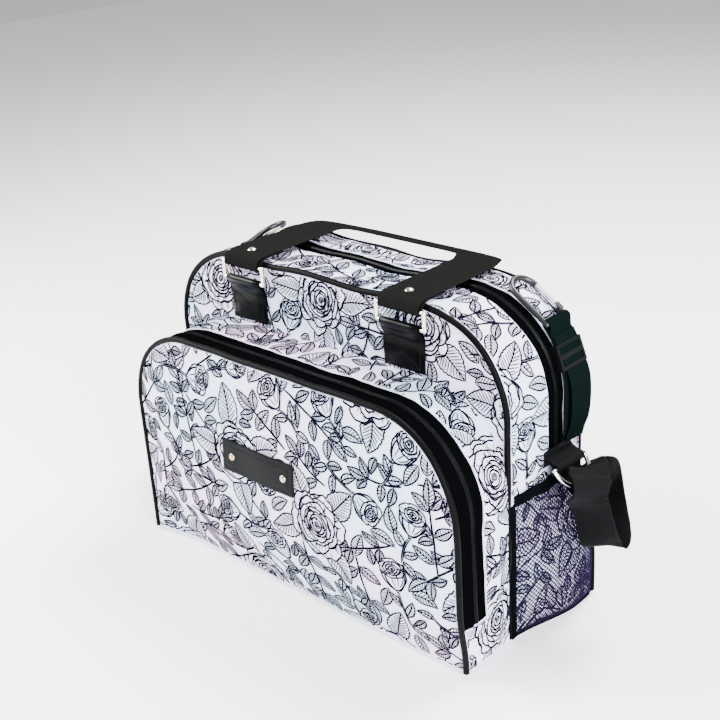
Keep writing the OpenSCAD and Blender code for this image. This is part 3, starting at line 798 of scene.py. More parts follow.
def draw_bud(sh, at, angle, S, rng, half=BOLD):
    """Half-open rose from the side on its stalk, opening along +X before it's turned."""
    t = np.linspace(0, 1, 40)

    def place(p):
        return turned(np.asarray(p, float) * S, angle, at)

    def stroke(p, weight=1.0):
        sh.line(place(p), half * weight)

    def oval(x, a, b, weight=1.0):
        o = np.c_[x + a * np.cos(t * TURN), b * np.sin(t * TURN)]
        stroke(o, weight)
        sh.fill(place(o))

    # curls in the opening, then the front petal
    for k, f in enumerate((0.28, 0.52, 0.78)):
        a = t * 5.6 + k * 1.7
        stroke(np.c_[0.80 + 0.02 * k + 0.15 * f * np.cos(a), 0.31 * f * np.sin(a)], 0.8)
    front = np.concatenate([
        bezier([0.70, -0.36], [0.62, 0.02], [0.80, 0.28], 16),
        bezier([0.80, 0.28], [0.45, 0.46], [0.10, 0.10], 14),
        bezier([0.10, 0.10], [0.04, 0.0], [0.10, -0.12], 6),
        bezier([0.10, -0.12], [0.35, -0.46], [0.70, -0.36], 14),
    ])
    stroke(front)
    for q in (-0.22, -0.08, 0.08):
        stroke(bezier([0.18, q * 0.5], [0.34, q * 1.3], [0.52, q * 1.5], 6), 0.6)
    sh.fill(place(front))
    oval(0.78, 0.16, 0.33)
    for s in (1, -1):
        side = np.concatenate([
            bezier([0.12, 0.0], [0.30, 0.50 * s], [0.62, 0.44 * s], 14),
            bezier([0.62, 0.44 * s], [0.78, 0.52 * s], [0.92, 0.30 * s], 10),
            bezier([0.92, 0.30 * s], [1.02, 0.12 * s], [0.95, -0.05 * s], 8),
        ])
        stroke(side)
        stroke(bezier([0.60, 0.40 * s], [0.76, 0.40 * s], [0.88, 0.26 * s], 8), 0.7)
        sh.fill(place(side))
    oval(0.86, 0.20, 0.30)
    # sepals and the cup they stand on
    for q in (-0.75, -0.25, 0.3, 0.8):
        tip = [0.34 + 0.1 * abs(q), 0.44 * q]
        sepal = bezier([0.06, 0.06], [0.2, 0.34 * q + 0.06], tip, 8)
        sepal = np.concatenate([sepal, bezier(tip, [0.14, 0.30 * q - 0.05], [0.04, -0.06], 8)])
        stroke(sepal, 0.85)
        sh.fill(place(sepal))
    oval(0.05, 0.06, 0.07, 0.8)
    # stalk with three leaves
    L = rng.uniform(0.9, 1.3)
    bend = rng.uniform(-0.35, 0.35)
    mid = bezier([0.0, 0.0], [-0.5 * L, bend], [-L, bend * 0.6], 20)
    two_lines(sh, place(mid), 0.00075, half * 0.8)
    for f, s in ((0.45, 1), (0.7, -1), (0.97, 1)):
        i = int(f * 19)
        d = mid[i] - mid[i - 1]
        a = math.atan2(-d[1], -d[0]) + s * rng.uniform(0.6, 1.0) + math.pi * (f > 0.9)
        length, width = S * rng.uniform(0.55, 0.75), S * rng.uniform(0.27, 0.34)
        draw_leaf(sh, place([mid[i]])[0], angle + a, length, width, rng, 0, 5, half * 0.9)


def two_lines(sh, mid, gap, half):
    """A stalk, drawn as its two sides."""
    nor = unit(np.gradient(mid, axis=0))[:, ::-1] * (-gap, gap)
    sh.line(mid + nor, half)
    sh.line(mid - nor, half)
    sh.fill(np.concatenate([mid + nor, (mid - nor)[::-1]]))


def sprig_outline(at, angle, L, wide):
    t = np.linspace(0, 2 * np.pi, 24)
    return turned(np.c_[L / 2 + L * 0.5 * np.cos(t), wide * 0.5 * np.sin(t)], angle, at)


def draw_sprig(sh, at, angle, L, rng, half=FINE):
    """A stalk with pairs of leaves and one at its tip."""
    bend = rng.uniform(-0.22, 0.22)
    mid = turned(bezier([0, 0], [L * 0.5, bend * L], [L * 0.97, bend * L * 0.7], 24), angle, at)
    pairs = max(2, int(round(L / 0.0155)) - 1)
    size = rng.uniform(0.019, 0.023) * min(1.0, 0.72 + L / 0.2)
    tip_dir = math.atan2(*(mid[-1] - mid[-2])[::-1])
    draw_leaf(sh, mid[-1], tip_dir, size * 1.1, size * 0.52, rng, 0, 7, half)
    for k in range(pairs):
        f = 0.24 + 0.68 * k / max(pairs - 1, 1)
        i = int(f * 23)
        d = math.atan2(*(mid[min(i + 1, 23)] - mid[i - 1])[::-1])
        for s in (1, -1):
            a = d + s * rng.uniform(0.75, 1.05)
            foot = mid[i] + (rng.uniform(-0.002, 0.002) * np.array([math.cos(d), math.sin(d)]))
            stalk = foot + 0.0022 * np.array([math.cos(a), math.sin(a)])
            sh.line([foot, stalk], half * 0.8)
            length = size * rng.uniform(0.85, 1.08) * (1 - 0.12 * k / pairs)
            draw_leaf(sh, stalk, a, length, size * 0.5, rng, 0, 7, half)
    two_lines(sh, mid, 0.00042, half * 0.75)


def make_print(lx, ly, seed=7):
    """The drawn cloth: (points, half widths) of each line on a sheet of lx by ly metres."""
    rng = np.random.default_rng(seed)
    sh = Sheet(lx, ly)

    def far(p, others, d):
        return all(np.hypot(*(p - o)) > d for o in others)

    def heading(a):
        return np.array([math.cos(a), math.sin(a)])

    roses = []
    for _ in range(6000):
        p = rng.uniform((-0.01, -0.01), (lx + 0.01, ly + 0.01))
        if far(p, roses, 0.106):
            roses.append(p)
    for p in roses:
        draw_rose(sh, p, rng.uniform(0.031, 0.037), rng, rng.uniform(0.86, 1.0), rng.uniform(0, 3.14))
    # four leaves lean out from behind each rose
    for p in roses:
        a0 = rng.uniform(0, 6.28)
        for k in range(4):
            a = a0 + k * 1.57 + rng.normal(0, 0.2)
            lean = a + rng.normal(0, 0.15)
            length, width = rng.uniform(0.036, 0.044), rng.uniform(0.022, 0.027)
            draw_leaf(sh, p + 0.021 * heading(a), lean, length, width, rng, 9, 10, 0.00044)
    buds = []
    for _ in range(9000):
        p = rng.uniform((0, 0), (lx, ly))
        if far(p, roses, 0.052) and far(p, buds, 0.058):
            a = rng.uniform(0, 6.28)
            S = rng.uniform(0.025, 0.031)
            head = sprig_outline(p, a, S, S * 0.9)
            if sh.share(head) < 0.12:
                buds.append(p)
                tip = p + 0.80 * S * heading(a)
                draw_rose(sh, tip, S * 0.47, rng, 0.74, a + 1.57, 0.00040, True)
                draw_bud(sh, p, a, S, rng)
    # sprigs, then single leaves, wherever there is room, the largest first
    for L, wide, limit, tries in ((0.078, 0.036, 0.10, 2500), (0.060, 0.036, 0.13, 3500), (0.044, 0.034, 0.17, 5000)):
        for _ in range(tries):
            p, a = rng.uniform((0, 0), (lx, ly)), rng.uniform(0, 6.28)
            if sh.share(sprig_outline(p, a, L, wide)) < limit:
                draw_sprig(sh, p, a, L * 0.86, rng)
    for L, limit, tries in ((0.026, 0.08, 9000), (0.018, 0.06, 9000)):
        for _ in range(tries):
            p, a = rng.uniform((0, 0), (lx, ly)), rng.uniform(0, 6.28)
            if sh.share(sprig_outline(p, a, L, L * 0.6)) < limit:
                draw_leaf(sh, p, a, L * 0.95, L * 0.48, rng, 0, 7)
    return sh.runs


# ------------------------------------------------------------------ cloth
MAIN = W - 2 * INSET, TOP - INSET, R_MAIN - INSET
POCKET = W - 2 * INSET, P_TOP - INSET, R_POCKET - INSET
F_MAIN = panel_shape(Y_MAIN, -1, *MAIN, 0.0012, 0.0006, 11)
F_BACK = panel_shape(Y_BACK, 1, *MAIN, 0.0012, 0.0008, 13)
F_POCKET = panel_shape(Y_POCKET, -1, *POCKET, 0.0032, 0.0095, 21)
G_MAIN = gusset_shape(W, TOP, R_MAIN, 0.0, Y_MAIN, Y_BACK, 0.0012, 31, Y_ZIP)
G_POCKET = gusset_shape(W, P_TOP, R_POCKET, 0.0, Y_POCKET, Y_MAIN, 0.0006, 41, Y_PZIP)
L_MAIN, L_POCKET = arch_len(W, TOP, R_MAIN), arch_len(W, P_TOP, R_POCKET)
CLOTH_STEP = 0.004

RUNS = [(p, w * 1.5 + 0.00012) for p, w in make_print(0.93, 0.42)]


def in_arch(w, h, r, above=PANEL_FOOT + PRINT_EDGE):
    return lambda q: (inside_arch(q, w, h, r) > PRINT_EDGE) & (q[:, 1] > above)


def in_box(u0, u1, v0, v1, edge=0.0006):
    return lambda q: ((q > (u0 + edge, v0 + edge)) & (q < (u1 - edge, v1 - edge))).all(1)


def printed(name, place, loop, inside, window, node, body="bag"):
    """One cloth panel: a closed padded skin with the print on its outside."""
    o = joined(name, [skin(place, loop, CLOTH_T, CLOTH_STEP), ink(place, window, inside)], [CLOTH, INK])
    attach(o, body)
    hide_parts(node)


ABOVE_POCKET = 0.18
MID = 0.2  # panels are measured from their middle, and windows of the print from a corner
main_loop = arch_loop(*MAIN, PANEL_FOOT)
printed("main_front_cloth", F_MAIN, main_loop, in_arch(*MAIN, ABOVE_POCKET), (0.52 + MID, 0.118), "front_panel")
printed("back_cloth", F_BACK, main_loop, in_arch(*MAIN), (0.49 + MID, 0.06), "back_panel")
pocket_loop = arch_loop(*POCKET, PANEL_FOOT)
pocket_window = (0.02 + MID, 0.006)
printed("pocket_front_cloth", F_POCKET, pocket_loop, in_arch(*POCKET), pocket_window, "pocket_front_panel")


def rect(u0, u1, v0, v1, step=0.004):
    return dense([(u0, v0), (u1, v0), (u1, v1), (u0, v1)], step)


# main gusset: strips in front of the zip and behind it, and one panel below it on each side
TAPE_HALF = 0.0116
y_a, y_b = Y_MAIN + SEAM, Y_ZIP - TAPE_HALF
y_c, y_d = Y_ZIP + TAPE_HALF, Y_BACK - SEAM
WIN_G = (0.006, 0.30 - Y_MAIN)
UNDER = 0.0004  # a side panel reaches this far under the zip's end
for name, s0, s1, near, far, cut_near, cut_far, node_name in (
    ("gusset_front_cloth", ZIP_Z, L_MAIN - ZIP_Z, y_a, y_b, (0, PRINT_EDGE), (0, 0), "gusset_front_strip"),
    ("gusset_back_cloth", ZIP_Z, L_MAIN - ZIP_Z, y_c, y_d, (0, 0), (0, PRINT_EDGE), "gusset_back_strip"),
    ("side_cloth_left", GUSSET_FOOT, ZIP_Z + UNDER, y_a, y_d, (0, PRINT_EDGE), (UNDER, PRINT_EDGE), "side_panel_left"),
    ("side_cloth_right", L_MAIN - ZIP_Z - UNDER, L_MAIN - GUSSET_FOOT, y_a, y_d, (UNDER, PRINT_EDGE), (0, PRINT_EDGE), "side_panel_right"),
):
    inside = in_box(s0 + cut_near[0], s1 - cut_far[0], near + cut_near[1], far - cut_far[1])
    printed(name, G_MAIN, rect(s0, s1, near, far), inside, WIN_G, node_name)

# pocket gusset: a band behind the zip, with feet that reach to the front below the zip's ends
t0, t1 = low("pocket_zip_tapes")[1], high("pocket_zip_tapes")[1]
c0, c1 = low("pocket_zip_coil")[1], high("pocket_zip_coil")[1]
half_loop = [(GUSSET_FOOT, Y_POCKET + SEAM), (PZIP_Z, Y_POCKET + SEAM), (PZIP_Z, t1 - 0.0006)]
loop = half_loop + [(L_POCKET - s, y) for s, y in half_loop[::-1]]
loop += [(L_POCKET - GUSSET_FOOT, Y_MAIN - 0.0002), (GUSSET_FOOT, Y_MAIN - 0.0002)]


def in_feet(q):
    s, y = q[:, 0], q[:, 1]
    foot = (s < PZIP_Z - 0.001) | (s > L_POCKET - PZIP_Z + 0.001)
    front = np.where(foot, Y_POCKET + 0.0035, t1 + 0.0002)
    return (s > 0.004) & (s < L_POCKET - 0.004) & (y < Y_MAIN - 0.0006) & (y > front)


pocket_window = (0.07, 0.235 - Y_POCKET)
printed("pocket_gusset_cloth", G_POCKET, dense(loop, 0.004), in_feet, pocket_window, "pocket_gusset")


# base: a slab whose foot follows the drawn-in pocket
def base_piece():
    v, f = fill_outline(dense(rounded(-HALF, HALF, Y_POCKET, Y_BACK, 0.012, 10), 0.006), 0.008)

    def at(z):
        q = soft(np.c_[v, np.full(len(v), 0.006)])
        q[:, 2] = z
        return q

    edge = np.minimum.reduce([HALF - np.abs(v[:, 0]), Y_BACK - v[:, 1], v[:, 1] - Y_POCKET])
    under = 0.0002 + 0.0012 * np.exp(-np.maximum(edge, 0) / 0.002)
    verts = np.concatenate([at(BASE_T + 0.0002), at(under)])
    o = joined("base_cloth", [(verts, closed_faces(f, len(v)), np.concatenate([v, v]), 0)], [CLOTH])
    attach(o, "bag")
    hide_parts("base_panel")


base_piece()


# lining: thin inner skin of the main compartment
def lining_piece():
    i, t, foot, gap = 0.0036, 0.0007, 0.0062, 0.0094
    y0, y1 = low("lining")[1], high("lining")[1]
    parts = []
    for y, s in ((y0 + 0.0004, -1), (y1 - 0.0004, 1)):

        def wall(q, y=y, s=s):
            return soft(np.c_[-s * q[:, 0], np.full(len(q), y), q[:, 1]])

        parts.append(skin(wall, arch_loop(W - 2 * i, TOP - i, R_MAIN - i, foot, 0.01), t, 0.012))
    g = gusset_shape(W, TOP, R_MAIN, i, y0, y1, 0.001, 51)
    for a, b in ((y0 + 0.0005, Y_ZIP - gap), (Y_ZIP + gap, y1 - 0.0005)):
        parts.append(skin(g, rect(foot, L_MAIN - foot, a, b, 0.01), t, 0.012))
    for s0, s1 in ((foot, ZIP_Z), (L_MAIN - ZIP_Z, L_MAIN - foot)):
        parts.append(skin(g, rect(s0, s1, Y_ZIP - gap, Y_ZIP + gap, 0.009), t, 0.01))
    o = joined("lining_cloth", parts, [LINING])
    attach(o, "bag")
    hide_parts("lining")


lining_piece()


# ------------------------------------------------------------------ piping
def piping(name, node, top, corner, y):
    into = 0.0015  # the cord's line, inside the gusset's outline
    w, h, r = W - 2 * into, top - into, corner - into
    total = arch_len(w, h, r)
    s = np.linspace(GUSSET_FOOT, total - GUSSET_FOOT, int(total / 0.004))
    xz, _, _ = arch(s, w, h, r)
    p = soft(np.c_[xz[:, 0], np.full(len(s), y), xz[:, 1]])
    t, _ = frames(p)
    p += 0.0003 * waves(p, 61, 0.05)[:, None] * unit(np.cross(t, (0, 1.0, 0)))
    o = joined(name, [(*tube(p, 0.0028, 12), 0)], [PIPING], sharp=50)
    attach(o, "bag")
    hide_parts(node)


piping("front_piping_cord", "front_piping", TOP, R_MAIN, Y_MAIN + 0.001)
piping("back_piping_cord", "back_piping", TOP, R_MAIN, Y_BACK - 0.001)
piping("pocket_piping_cord", "pocket_piping", P_TOP, R_POCKET, Y_POCKET + 0.001)


# ------------------------------------------------------------------ zips
def zip_tapes(name, node, place, total, z0, bands):
    """Tapes with a folded lip along the coil; each band is (outer edge, coil edge, lip height)."""
    parts = []
    for a, b, lip in bands:
        lo, hi = min(a, b), max(a, b)

        def lifted(q, a=a, b=b, lip=lip):
            p, n = surface(place, q)
            t = np.clip((q[:, 1] - a) / (b - a), 0, 1)
            rise = -0.0008 + lip * smooth((t - 0.12) / 0.5) * (1 - 0.75 * smooth((t - 0.86) / 0.14))
            return p + n * rise[:, None]

        n, m = max(2, int((total - 2 * z0) / 0.004)), 9
        v = np.stack(np.meshgrid(np.linspace(z0, total - z0, n + 1), np.linspace(lo, hi, m)), -1)
        v = v.reshape(-1, 2)
        p = lifted(v)
        _, normal = surface(place, v)
        k = len(v)
        idx = np.arange(k).reshape(m, n + 1)
        f = []
        for j in range(m - 1):
            for i in range(n):
                q = (idx[j, i], idx[j, i + 1], idx[j + 1, i + 1], idx[j + 1, i])
                f += [q, tuple(x + k for x in q[::-1])]
        ring = [*idx[0, :], *idx[1:, -1], *idx[-1, -2::-1], *idx[-2:0:-1, 0]]
        f += [(v1, v0, v0 + k, v1 + k) for v0, v1 in zip(ring, ring[1:] + ring[:1])]
        parts.append((np.concatenate([p, p - normal * 0.0011]), f, np.concatenate([v, v]), 0))
    o = joined(name, parts, [TAPE])
    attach(o, "bag")
    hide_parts(node)


def zip_coil(name, node, place, total, z0, yc, half=0.0024):
    """Two rows of nylon coil turns that meet in the middle, on a narrow core."""
    pitch = 0.0015
    s = np.arange(z0 + 0.001, total - z0 - 0.001, pitch)

    def row(shift, off, lift):
        return surface(place, np.c_[s + shift, np.full(len(s), yc + off)], lift)

    a, n = row(0, -half, -0.0004)
    b, _ = row(0, -0.0001, 0.0004)
    c, _ = row(pitch / 2, 0.0001, 0.0004)
    d, _ = row(pitch / 2, half, -0.0004)
    turns = prisms(np.concatenate([a, c]), np.concatenate([b, d]), np.concatenate([n, n]), 0.00052)
    core = rect(z0, total - z0, yc - half, yc + half, 0.004)
    parts = [(*turns, 0), skin(lambda q: surface(place, q, -0.0006)[0], core, 0.0012, 0.004)]
    o = joined(name, parts, [COIL])
    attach(o, "bag")
    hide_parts(node)


main_bands = [(Y_ZIP - 0.012, Y_ZIP - 0.0024, 0.0005), (Y_ZIP + 0.012, Y_ZIP + 0.0024, 0.0005)]
zip_tapes("main_zip_tape", "main_zip_tapes", G_MAIN, L_MAIN, ZIP_Z - 0.0005, main_bands)
zip_coil("main_zip_teeth", "main_zip_coil", G_MAIN, L_MAIN, ZIP_Z, Y_ZIP)
pocket_bands = [(t0 - 0.0006, c0 + 0.0002, 0.0009), (t1, c1 - 0.0002, 0.0006)]
zip_tapes("pocket_zip_tape", "pocket_zip_tapes", G_POCKET, L_POCKET, PZIP_Z - 0.0005, pocket_bands)
zip_coil("pocket_zip_teeth", "pocket_zip_coil", G_POCKET, L_POCKET, PZIP_Z, Y_PZIP)


# ------------------------------------------------------------------ label
def label():
    (u0, _, v0), (u1, _, v1) = low("label_patch"), high("label_patch")

    def puffed(q):
        e = np.minimum.reduce([q[:, 0] - u0, u1 - q[:, 0], q[:, 1] - v0, v1 - q[:, 1]])
        p, n = surface(F_POCKET, q)
        groove = 0.00045 * np.exp(-(((e - 0.0045) / 0.0006) ** 2))
        rise = 0.0016 + 0.0007 * (1 - np.exp(-np.maximum(e, 0) / 0.0016)) - groove
        return p + n * rise[:, None]

    patch = skin(puffed, dense(rounded(u0, u1, v0, v1, 0.002, 3), 0.0015), 0.0019, 0.0015)
    o = joined("label_leather_patch", [patch], [LABEL])
    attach(o, "bag")
    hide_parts("label_patch")
    parts = []
    for x in (u0 + 0.013, u1 - 0.0115):
        p, n = surface(F_POCKET, np.array([(x, (v0 + v1) / 2)]), 0.0022)
        parts.append((*dome(p[0], n[0], 0.0034, 0.0014), 0))
    o = joined("label_rivet_heads", parts, [BRASS])
    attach(o, "bag")
    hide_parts("label_rivets")


label()


# ------------------------------------------------------------------ tabs with box-and-cross stitching
def tab(name, node, x, yb, zb, sign, face):
    """Strip folded round a ring's bar; sign -1 in front, 1 behind."""
    wide, th = 0.044, 0.0013
    z_end = low(node)[2]
    r = 0.002 + th / 2 + 0.0003
    wall = Y_MAIN if sign < 0 else Y_BACK
    y_in, y_out = wall + sign * (th / 2 + 0.0001), wall + sign * (1.5 * th + 0.0002)
    prof = [(y_in, z_end), (y_in, zb - 0.016), (y_in + sign * 0.001, zb - 0.009)]
    for a in range(-50, 231, 20):
        q = math.radians(a)
        prof.append((yb - sign * r * math.cos(q), zb + r * math.sin(q)))
    prof += [(y_out + sign * 0.0014, zb - 0.0095), (y_out, zb - 0.017), (y_out, z_end)]
    prof = spline(prof, 0.0018)

    def follow(p):
        q = np.c_[np.clip(-sign * p[:, 0], -0.19, 0.19), np.minimum(p[:, 2], 0.28)]
        off = face(q)[:, 1] - wall
        fade = 1 - smooth((p[:, 2] - (zb - 0.02)) / 0.014)
        p = p.copy()
        p[:, 1] += off * fade
        return p

    path = np.c_[np.full(len(prof), x), prof]
    v, f, uv = ribbon_data(path, (1.0, 0, 0), wide, th)
    parts = [(follow(v), f, uv, 0)]
    y = y_out + sign * (th / 2 + 0.0001)
    a, b, lo, hi = x - wide / 2 + 0.004, x + wide / 2 - 0.004, z_end + 0.003, zb - 0.012
    seg = []
    box = ((a, lo), (b, lo)), ((b, lo), (b, hi)), ((b, hi), (a, hi)), ((a, hi), (a, lo))
    cross = ((a, lo), (b, hi)), ((a, hi), (b, lo))
    for p, q in (*box, *cross):
        seg += stitch_line((p[0], y, p[1]), (q[0], y, q[1]))
    parts.append((*threads([follow(np.array(s)) for s in seg]), 1))
    o = joined(name, parts, [PATENT, THREAD])
    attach(o, "bag")
    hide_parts(node)


leg = middle("front_ring_right")[0]
yr, zr = middle("front_ring_left")[1], low("front_ring_left")[2] + BAR
ybr = low("back_ring_left")[1] + BAR
zbr = high("back_ring_left")[2] - BAR
for s, side in ((-1, "left"), (1, "right")):
    tab("front_tab_leather_" + side, "front_tab_" + side, s * leg, yr, zr, -1, F_MAIN)
    tab("back_tab_leather_" + side, "back_tab_" + side, s * leg, ybr, zbr, 1, F_BACK)


# ------------------------------------------------------------------ webbing handles
def u_plan(t_start, t_end, leg_half=0.022, step=0.004):
    """Outer and inner edges of a U band, as matched points (x, t) from the left leg to the right."""
    xo, xi = leg + leg_half, leg - leg_half
    ro, ri, cw = 0.062, 0.024, 0.034
    k = max(2, int((t_end - 0.062 - t_start) / step))
    a = np.linspace(0, math.pi / 2, 18)
    outer = [(-xo, t) for t in np.linspace(t_start, t_end - ro, k)][:-1]
    outer += [(-xo + ro - ro * math.cos(q), t_end - ro + ro * math.sin(q)) for q in a]
    inner = [(-xi, t) for t in np.linspace(t_start, t_end - cw - ri, k)][:-1]
    inner += [(-xi + ri - ri * math.cos(q), t_end - cw - ri + ri * math.sin(q)) for q in a]
    m = 26
    outer += [(x, t_end) for x in np.linspace(-xo + ro, xo - ro, m)[1:-1]]
    inner += [(x, t_end - cw) for x in np.linspace(-xi + ri, xi - ri, m)[1:-1]]
    mirror = [(-x, t) for x, t in outer[: len(outer) - (m - 2)]][::-1]
    mirror_i = [(-x, t) for x, t in inner[: len(inner) - (m - 2)]][::-1]
    return np.array(outer + mirror), np.array(inner + mirror_i)


def handle(name, node, loop_profile, run_profile, t_end, stitches, body):
    """Folded end round the ring (loop_profile), then the run (run_profile); both are (y, z) lines."""
    run = spline(run_profile, 0.003)
    d = run_length(run)

    def lay(q):
        return np.c_[q[:, 0], np.interp(q[:, 1], d, run[:, 0]), np.interp(q[:, 1], d, run[:, 1])]

    outer, inner = u_plan(0.0, t_end)
    mid = (outer + inner) / 2
    parts = [(*ribbon_data(lay(mid), lay(outer) - lay(inner), np.linalg.norm(outer - inner, axis=1), WEB_T), 0)]
    fold = spline(loop_profile, 0.0016)
    for s in (-1, 1):
        path = np.c_[np.full(len(fold), s * leg), fold]
        parts.append((*ribbon_data(path, (1.0, 0, 0), WEB_W, WEB_T), 0))
        seg = []
        for p, q in stitches:
            a, b = np.array([(s * leg + p[0], p[1])]), np.array([(s * leg + q[0], q[1])])
            n = max(1, int(np.linalg.norm(b - a) / STITCH))
            for i in range(n):
                e = a + (b - a) * (i + 0.15) / n
                g = a + (b - a) * (i + 0.85) / n
                pe, pg = lay(e)[0], lay(g)[0]
                up = unit(np.cross((1.0, 0, 0), lay(e + (0, 0.002))[0] - lay(e - (0, 0.001))[0]))
                seg.append((pe + up * (WEB_T / 2 + 0.0001), pg + up * (WEB_T / 2 + 0.0001)))
        parts.append((*threads(seg), 1))
    o = joined(name, parts, [WEB, THREAD])
    length = 2 * t_end + 2 * leg + 0.08  # two legs, the cross piece and the folded ends
    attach(o, body)
    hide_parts(node)
    return o, length


def box_stitch(t0, t1, x=0.018):
    return [((-x, t0), (x, t0)), ((-x, t1), (x, t1)), ((-x, t0), (-x, t1)), ((x, t0), (x, t1))]


def round_bar(y, z, r, angles):
    """Points round a ring's bar; a negative r runs the other way in y."""
    return [(y + r * math.cos(math.radians(a)), z + abs(r) * math.sin(math.radians(a))) for a in angles]


zt = high("front_handle")[2]
ztop = high("front_ring_left")[2] - BAR
r = BAR + 0.0011
loop_profile = [(0.008, zt - 0.0027), (-0.004, zt - 0.0027), (-0.0125, zt - 0.0029)]
loop_profile += [(-0.0178, zt - 0.0042), (-0.0205, zt - 0.0070)]
loop_profile += round_bar(yr, ztop, r, (10, -30, -75, -120, -165, -200))
loop_profile += [(yr - 0.0026, ztop + 0.0032), (yr - 0.0005, ztop + 0.0065), (-0.0205, zt - 0.0015)]
loop_profile += [(-0.0145, zt - 0.0009), (-0.008, zt - 0.0009)]
run_profile = [(-0.010, zt - 0.0009), (0.010, zt - 0.0009), (0.040, zt - 0.0010), (0.070, zt - 0.0009)]
run_profile += [(0.084, zt - 0.0012), (0.0920, zt - 0.0024), (0.102, zt - 0.0052), (0.112, zt - 0.0086)]
run_profile += [(0.120, zt - 0.0112), (0.128, zt - 0.0135)]
names = "front_handle_webbing", "front_handle"
o, n_len = handle(*names, loop_profile, run_profile, 0.1365, box_stitch(0.002, 0.018), "front_handle")

yb2, zb2 = high("back_ring_left")[1] - BAR, low("back_ring_left")[2] + BAR
yo = yb2 + 0.0004
loop_profile = [(yo - 0.0017, zb2 - 0.036), (yo - 0.0017, zb2 - 0.02), (yo - 0.0022, zb2 - 0.009)]
loop_profile += round_bar(yb2, zb2, -r, (-20, 20, 60, 100, 140, 180))
loop_profile += [(yb2 + r * 0.9, zb2 - 0.004), (yo + 0.0012, zb2 - 0.009), (yo, zb2 - 0.015), (yo, zb2 - 0.022)]
zlow = low("back_handle")[2]
run_profile = [(yo, zb2 - 0.018), (yo, zb2 - 0.05), (yo + 0.0006, zb2 - 0.09), (yo + 0.001, zb2 - 0.13), (yo, zlow)]
names, t_end = ("back_handle_webbing", "back_handle"), zb2 - 0.018 - zlow - 0.0004
stitches = box_stitch(-0.006, 0.014)[1:2] + box_stitch(0.002, 0.014)
o, n_len = handle(*names, loop_profile, run_profile, t_end, stitches, "back_handle")


# ------------------------------------------------------------------ side nets
NET_Z = low("net_elastic_right")[2]
NET_TOP = high("net_elastic_right")[2]
NY0, NY1 = low("net_elastic_right")[1], high("net_elastic_right")[1]


def net_shape(s):
    """Net as a function of (y, z): bellied low down and towards the back."""

    def place(q):
        t = np.clip((q[:, 0] - NY0) / (NY1 - NY0), 0, 1)
        v = np.clip(q[:, 1] / NET_TOP, 0, 1)
        skew = t + 0.16 * t * (1 - t)
        bag = 0.0100 * np.sin(np.pi * skew) ** 0.8 * (0.25 + 0.75 * smooth(v / 0.9))
        low_sack = 0.0085 * np.sin(np.pi * np.clip(skew, 0, 1)) ** 0.7 * np.sin(np.pi * np.clip(v / 0.86, 0, 1)) ** 0.8
        fold = 0.0012 * waves(np.c_[q[:, 0], q[:, 1] * 0.4, 0 * q[:, 0]], 71, 0.045)
        fold = fold * np.sin(np.pi * t) * np.sin(np.pi * v)
        x = HALF + 0.0010 + sagged(q[:, 0], q[:, 1]) + (bag * 0.6 + low_sack + fold) * (0.3 + 0.7 * smooth(v / 0.10))
        y = q[:, 0] + 0.0035 * smooth((q[:, 0] - 0.055) / 0.03) * (1 - smooth((q[:, 1] - 0.040) / 0.085))
        return np.c_[s * x, y, q[:, 1]]

    return place


def net(side, s):
    place = net_shape(s)
    pitch, half = 0.0036, 0.00050
    y0, y1, z0, z1n = NY0 + 0.0002, NY1 - 0.0002, BASE_T + 0.0006, NET_Z + 0.001
    vs, fs, n = [], [], 0
    stretch = 1.25
    for d in (1, -1):
        span = (y1 - y0) + (z1n - z0) / stretch
        for k in np.arange(0, span, pitch):
            # one thread, rising forwards or backwards, cut off at the net's sides
            zz = np.arange(z0, z1n, 0.0030)
            yy = (y0 + k - (zz - z0) / stretch) if d > 0 else (y1 - k + (zz - z0) / stretch)
            ok = (yy >= y0) & (yy <= y1)
            if ok.sum() < 2:
                continue
            q = np.c_[yy[ok], zz[ok]]
            p = place(q)
            side_dir = unit(np.cross(unit(np.gradient(p, axis=0)), (s, 0, 0)))
            out = np.array((s * half * 0.9, 0, 0))
            ring = np.stack([p + side_dir * half, p + out, p - side_dir * half, p - out], 1)
            m = len(p)
            vs.append(ring.reshape(-1, 3))
            fs += [tuple(n + i for i in q) for q in ladder(m, 4)]
            n += 4 * m
    v = np.concatenate(vs)
    # bound lower and side hems
    parts = [(v, fs, np.zeros((len(v), 2)), 0)]
    hem = [(y0, z1n)] + [(y0, z) for z in np.linspace(z1n - 0.004, z0 + 0.001, 26)]
    hem += [(y, z0 + 0.0008) for y in np.linspace(y0 + 0.003, y1 - 0.003, 20)]
    hem += [(y1, z) for z in np.linspace(z0 + 0.001, z1n, 26)]
    hem = np.array(hem)
    hem[:27, 0] -= 0.0016
    across = np.tile((0.0, 0, 1.0), (len(hem), 1))
    across[:27] = across[-26:] = (0, 1, 0)
    wide = np.where(np.arange(len(hem)) < 27, 0.0078, 0.0040)
    parts.append((*ribbon_data(place(hem), across, wide, 0.0008), 1))
    o = joined("net_pocket_mesh_" + side, parts, [NET, ELASTIC])
    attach(o, "bag")
    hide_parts("net_pocket_" + side)
    # elastic top edge, gathered
    yy = np.linspace(NY0, NY1, 60)
    p = place(np.c_[yy, np.full(60, (NET_Z + NET_TOP) / 2)])
    p[:, 2] += 0.0008 * np.sin(yy * 190)
    v, f, uv = ribbon_data(p, (0.0, 0, 1.0), 0.0098, 0.0018)
    if s < 0:
        f = [q[::-1] for q in f]
    o = joined("net_elastic_band_" + side, [(v, f, uv, 0)], [ELASTIC])
    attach(o, "bag")
    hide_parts("net_elastic_" + side)


net("right", 1)
net("left", -1)


# ------------------------------------------------------------------ D ring tabs
DX = low("d_ring_right")[0] + BAR
DZ = high("d_ring_right")[2] - BAR
DY = middle("d_ring_right")[1]
TILT = math.radians(40)
D_R = 0.0215


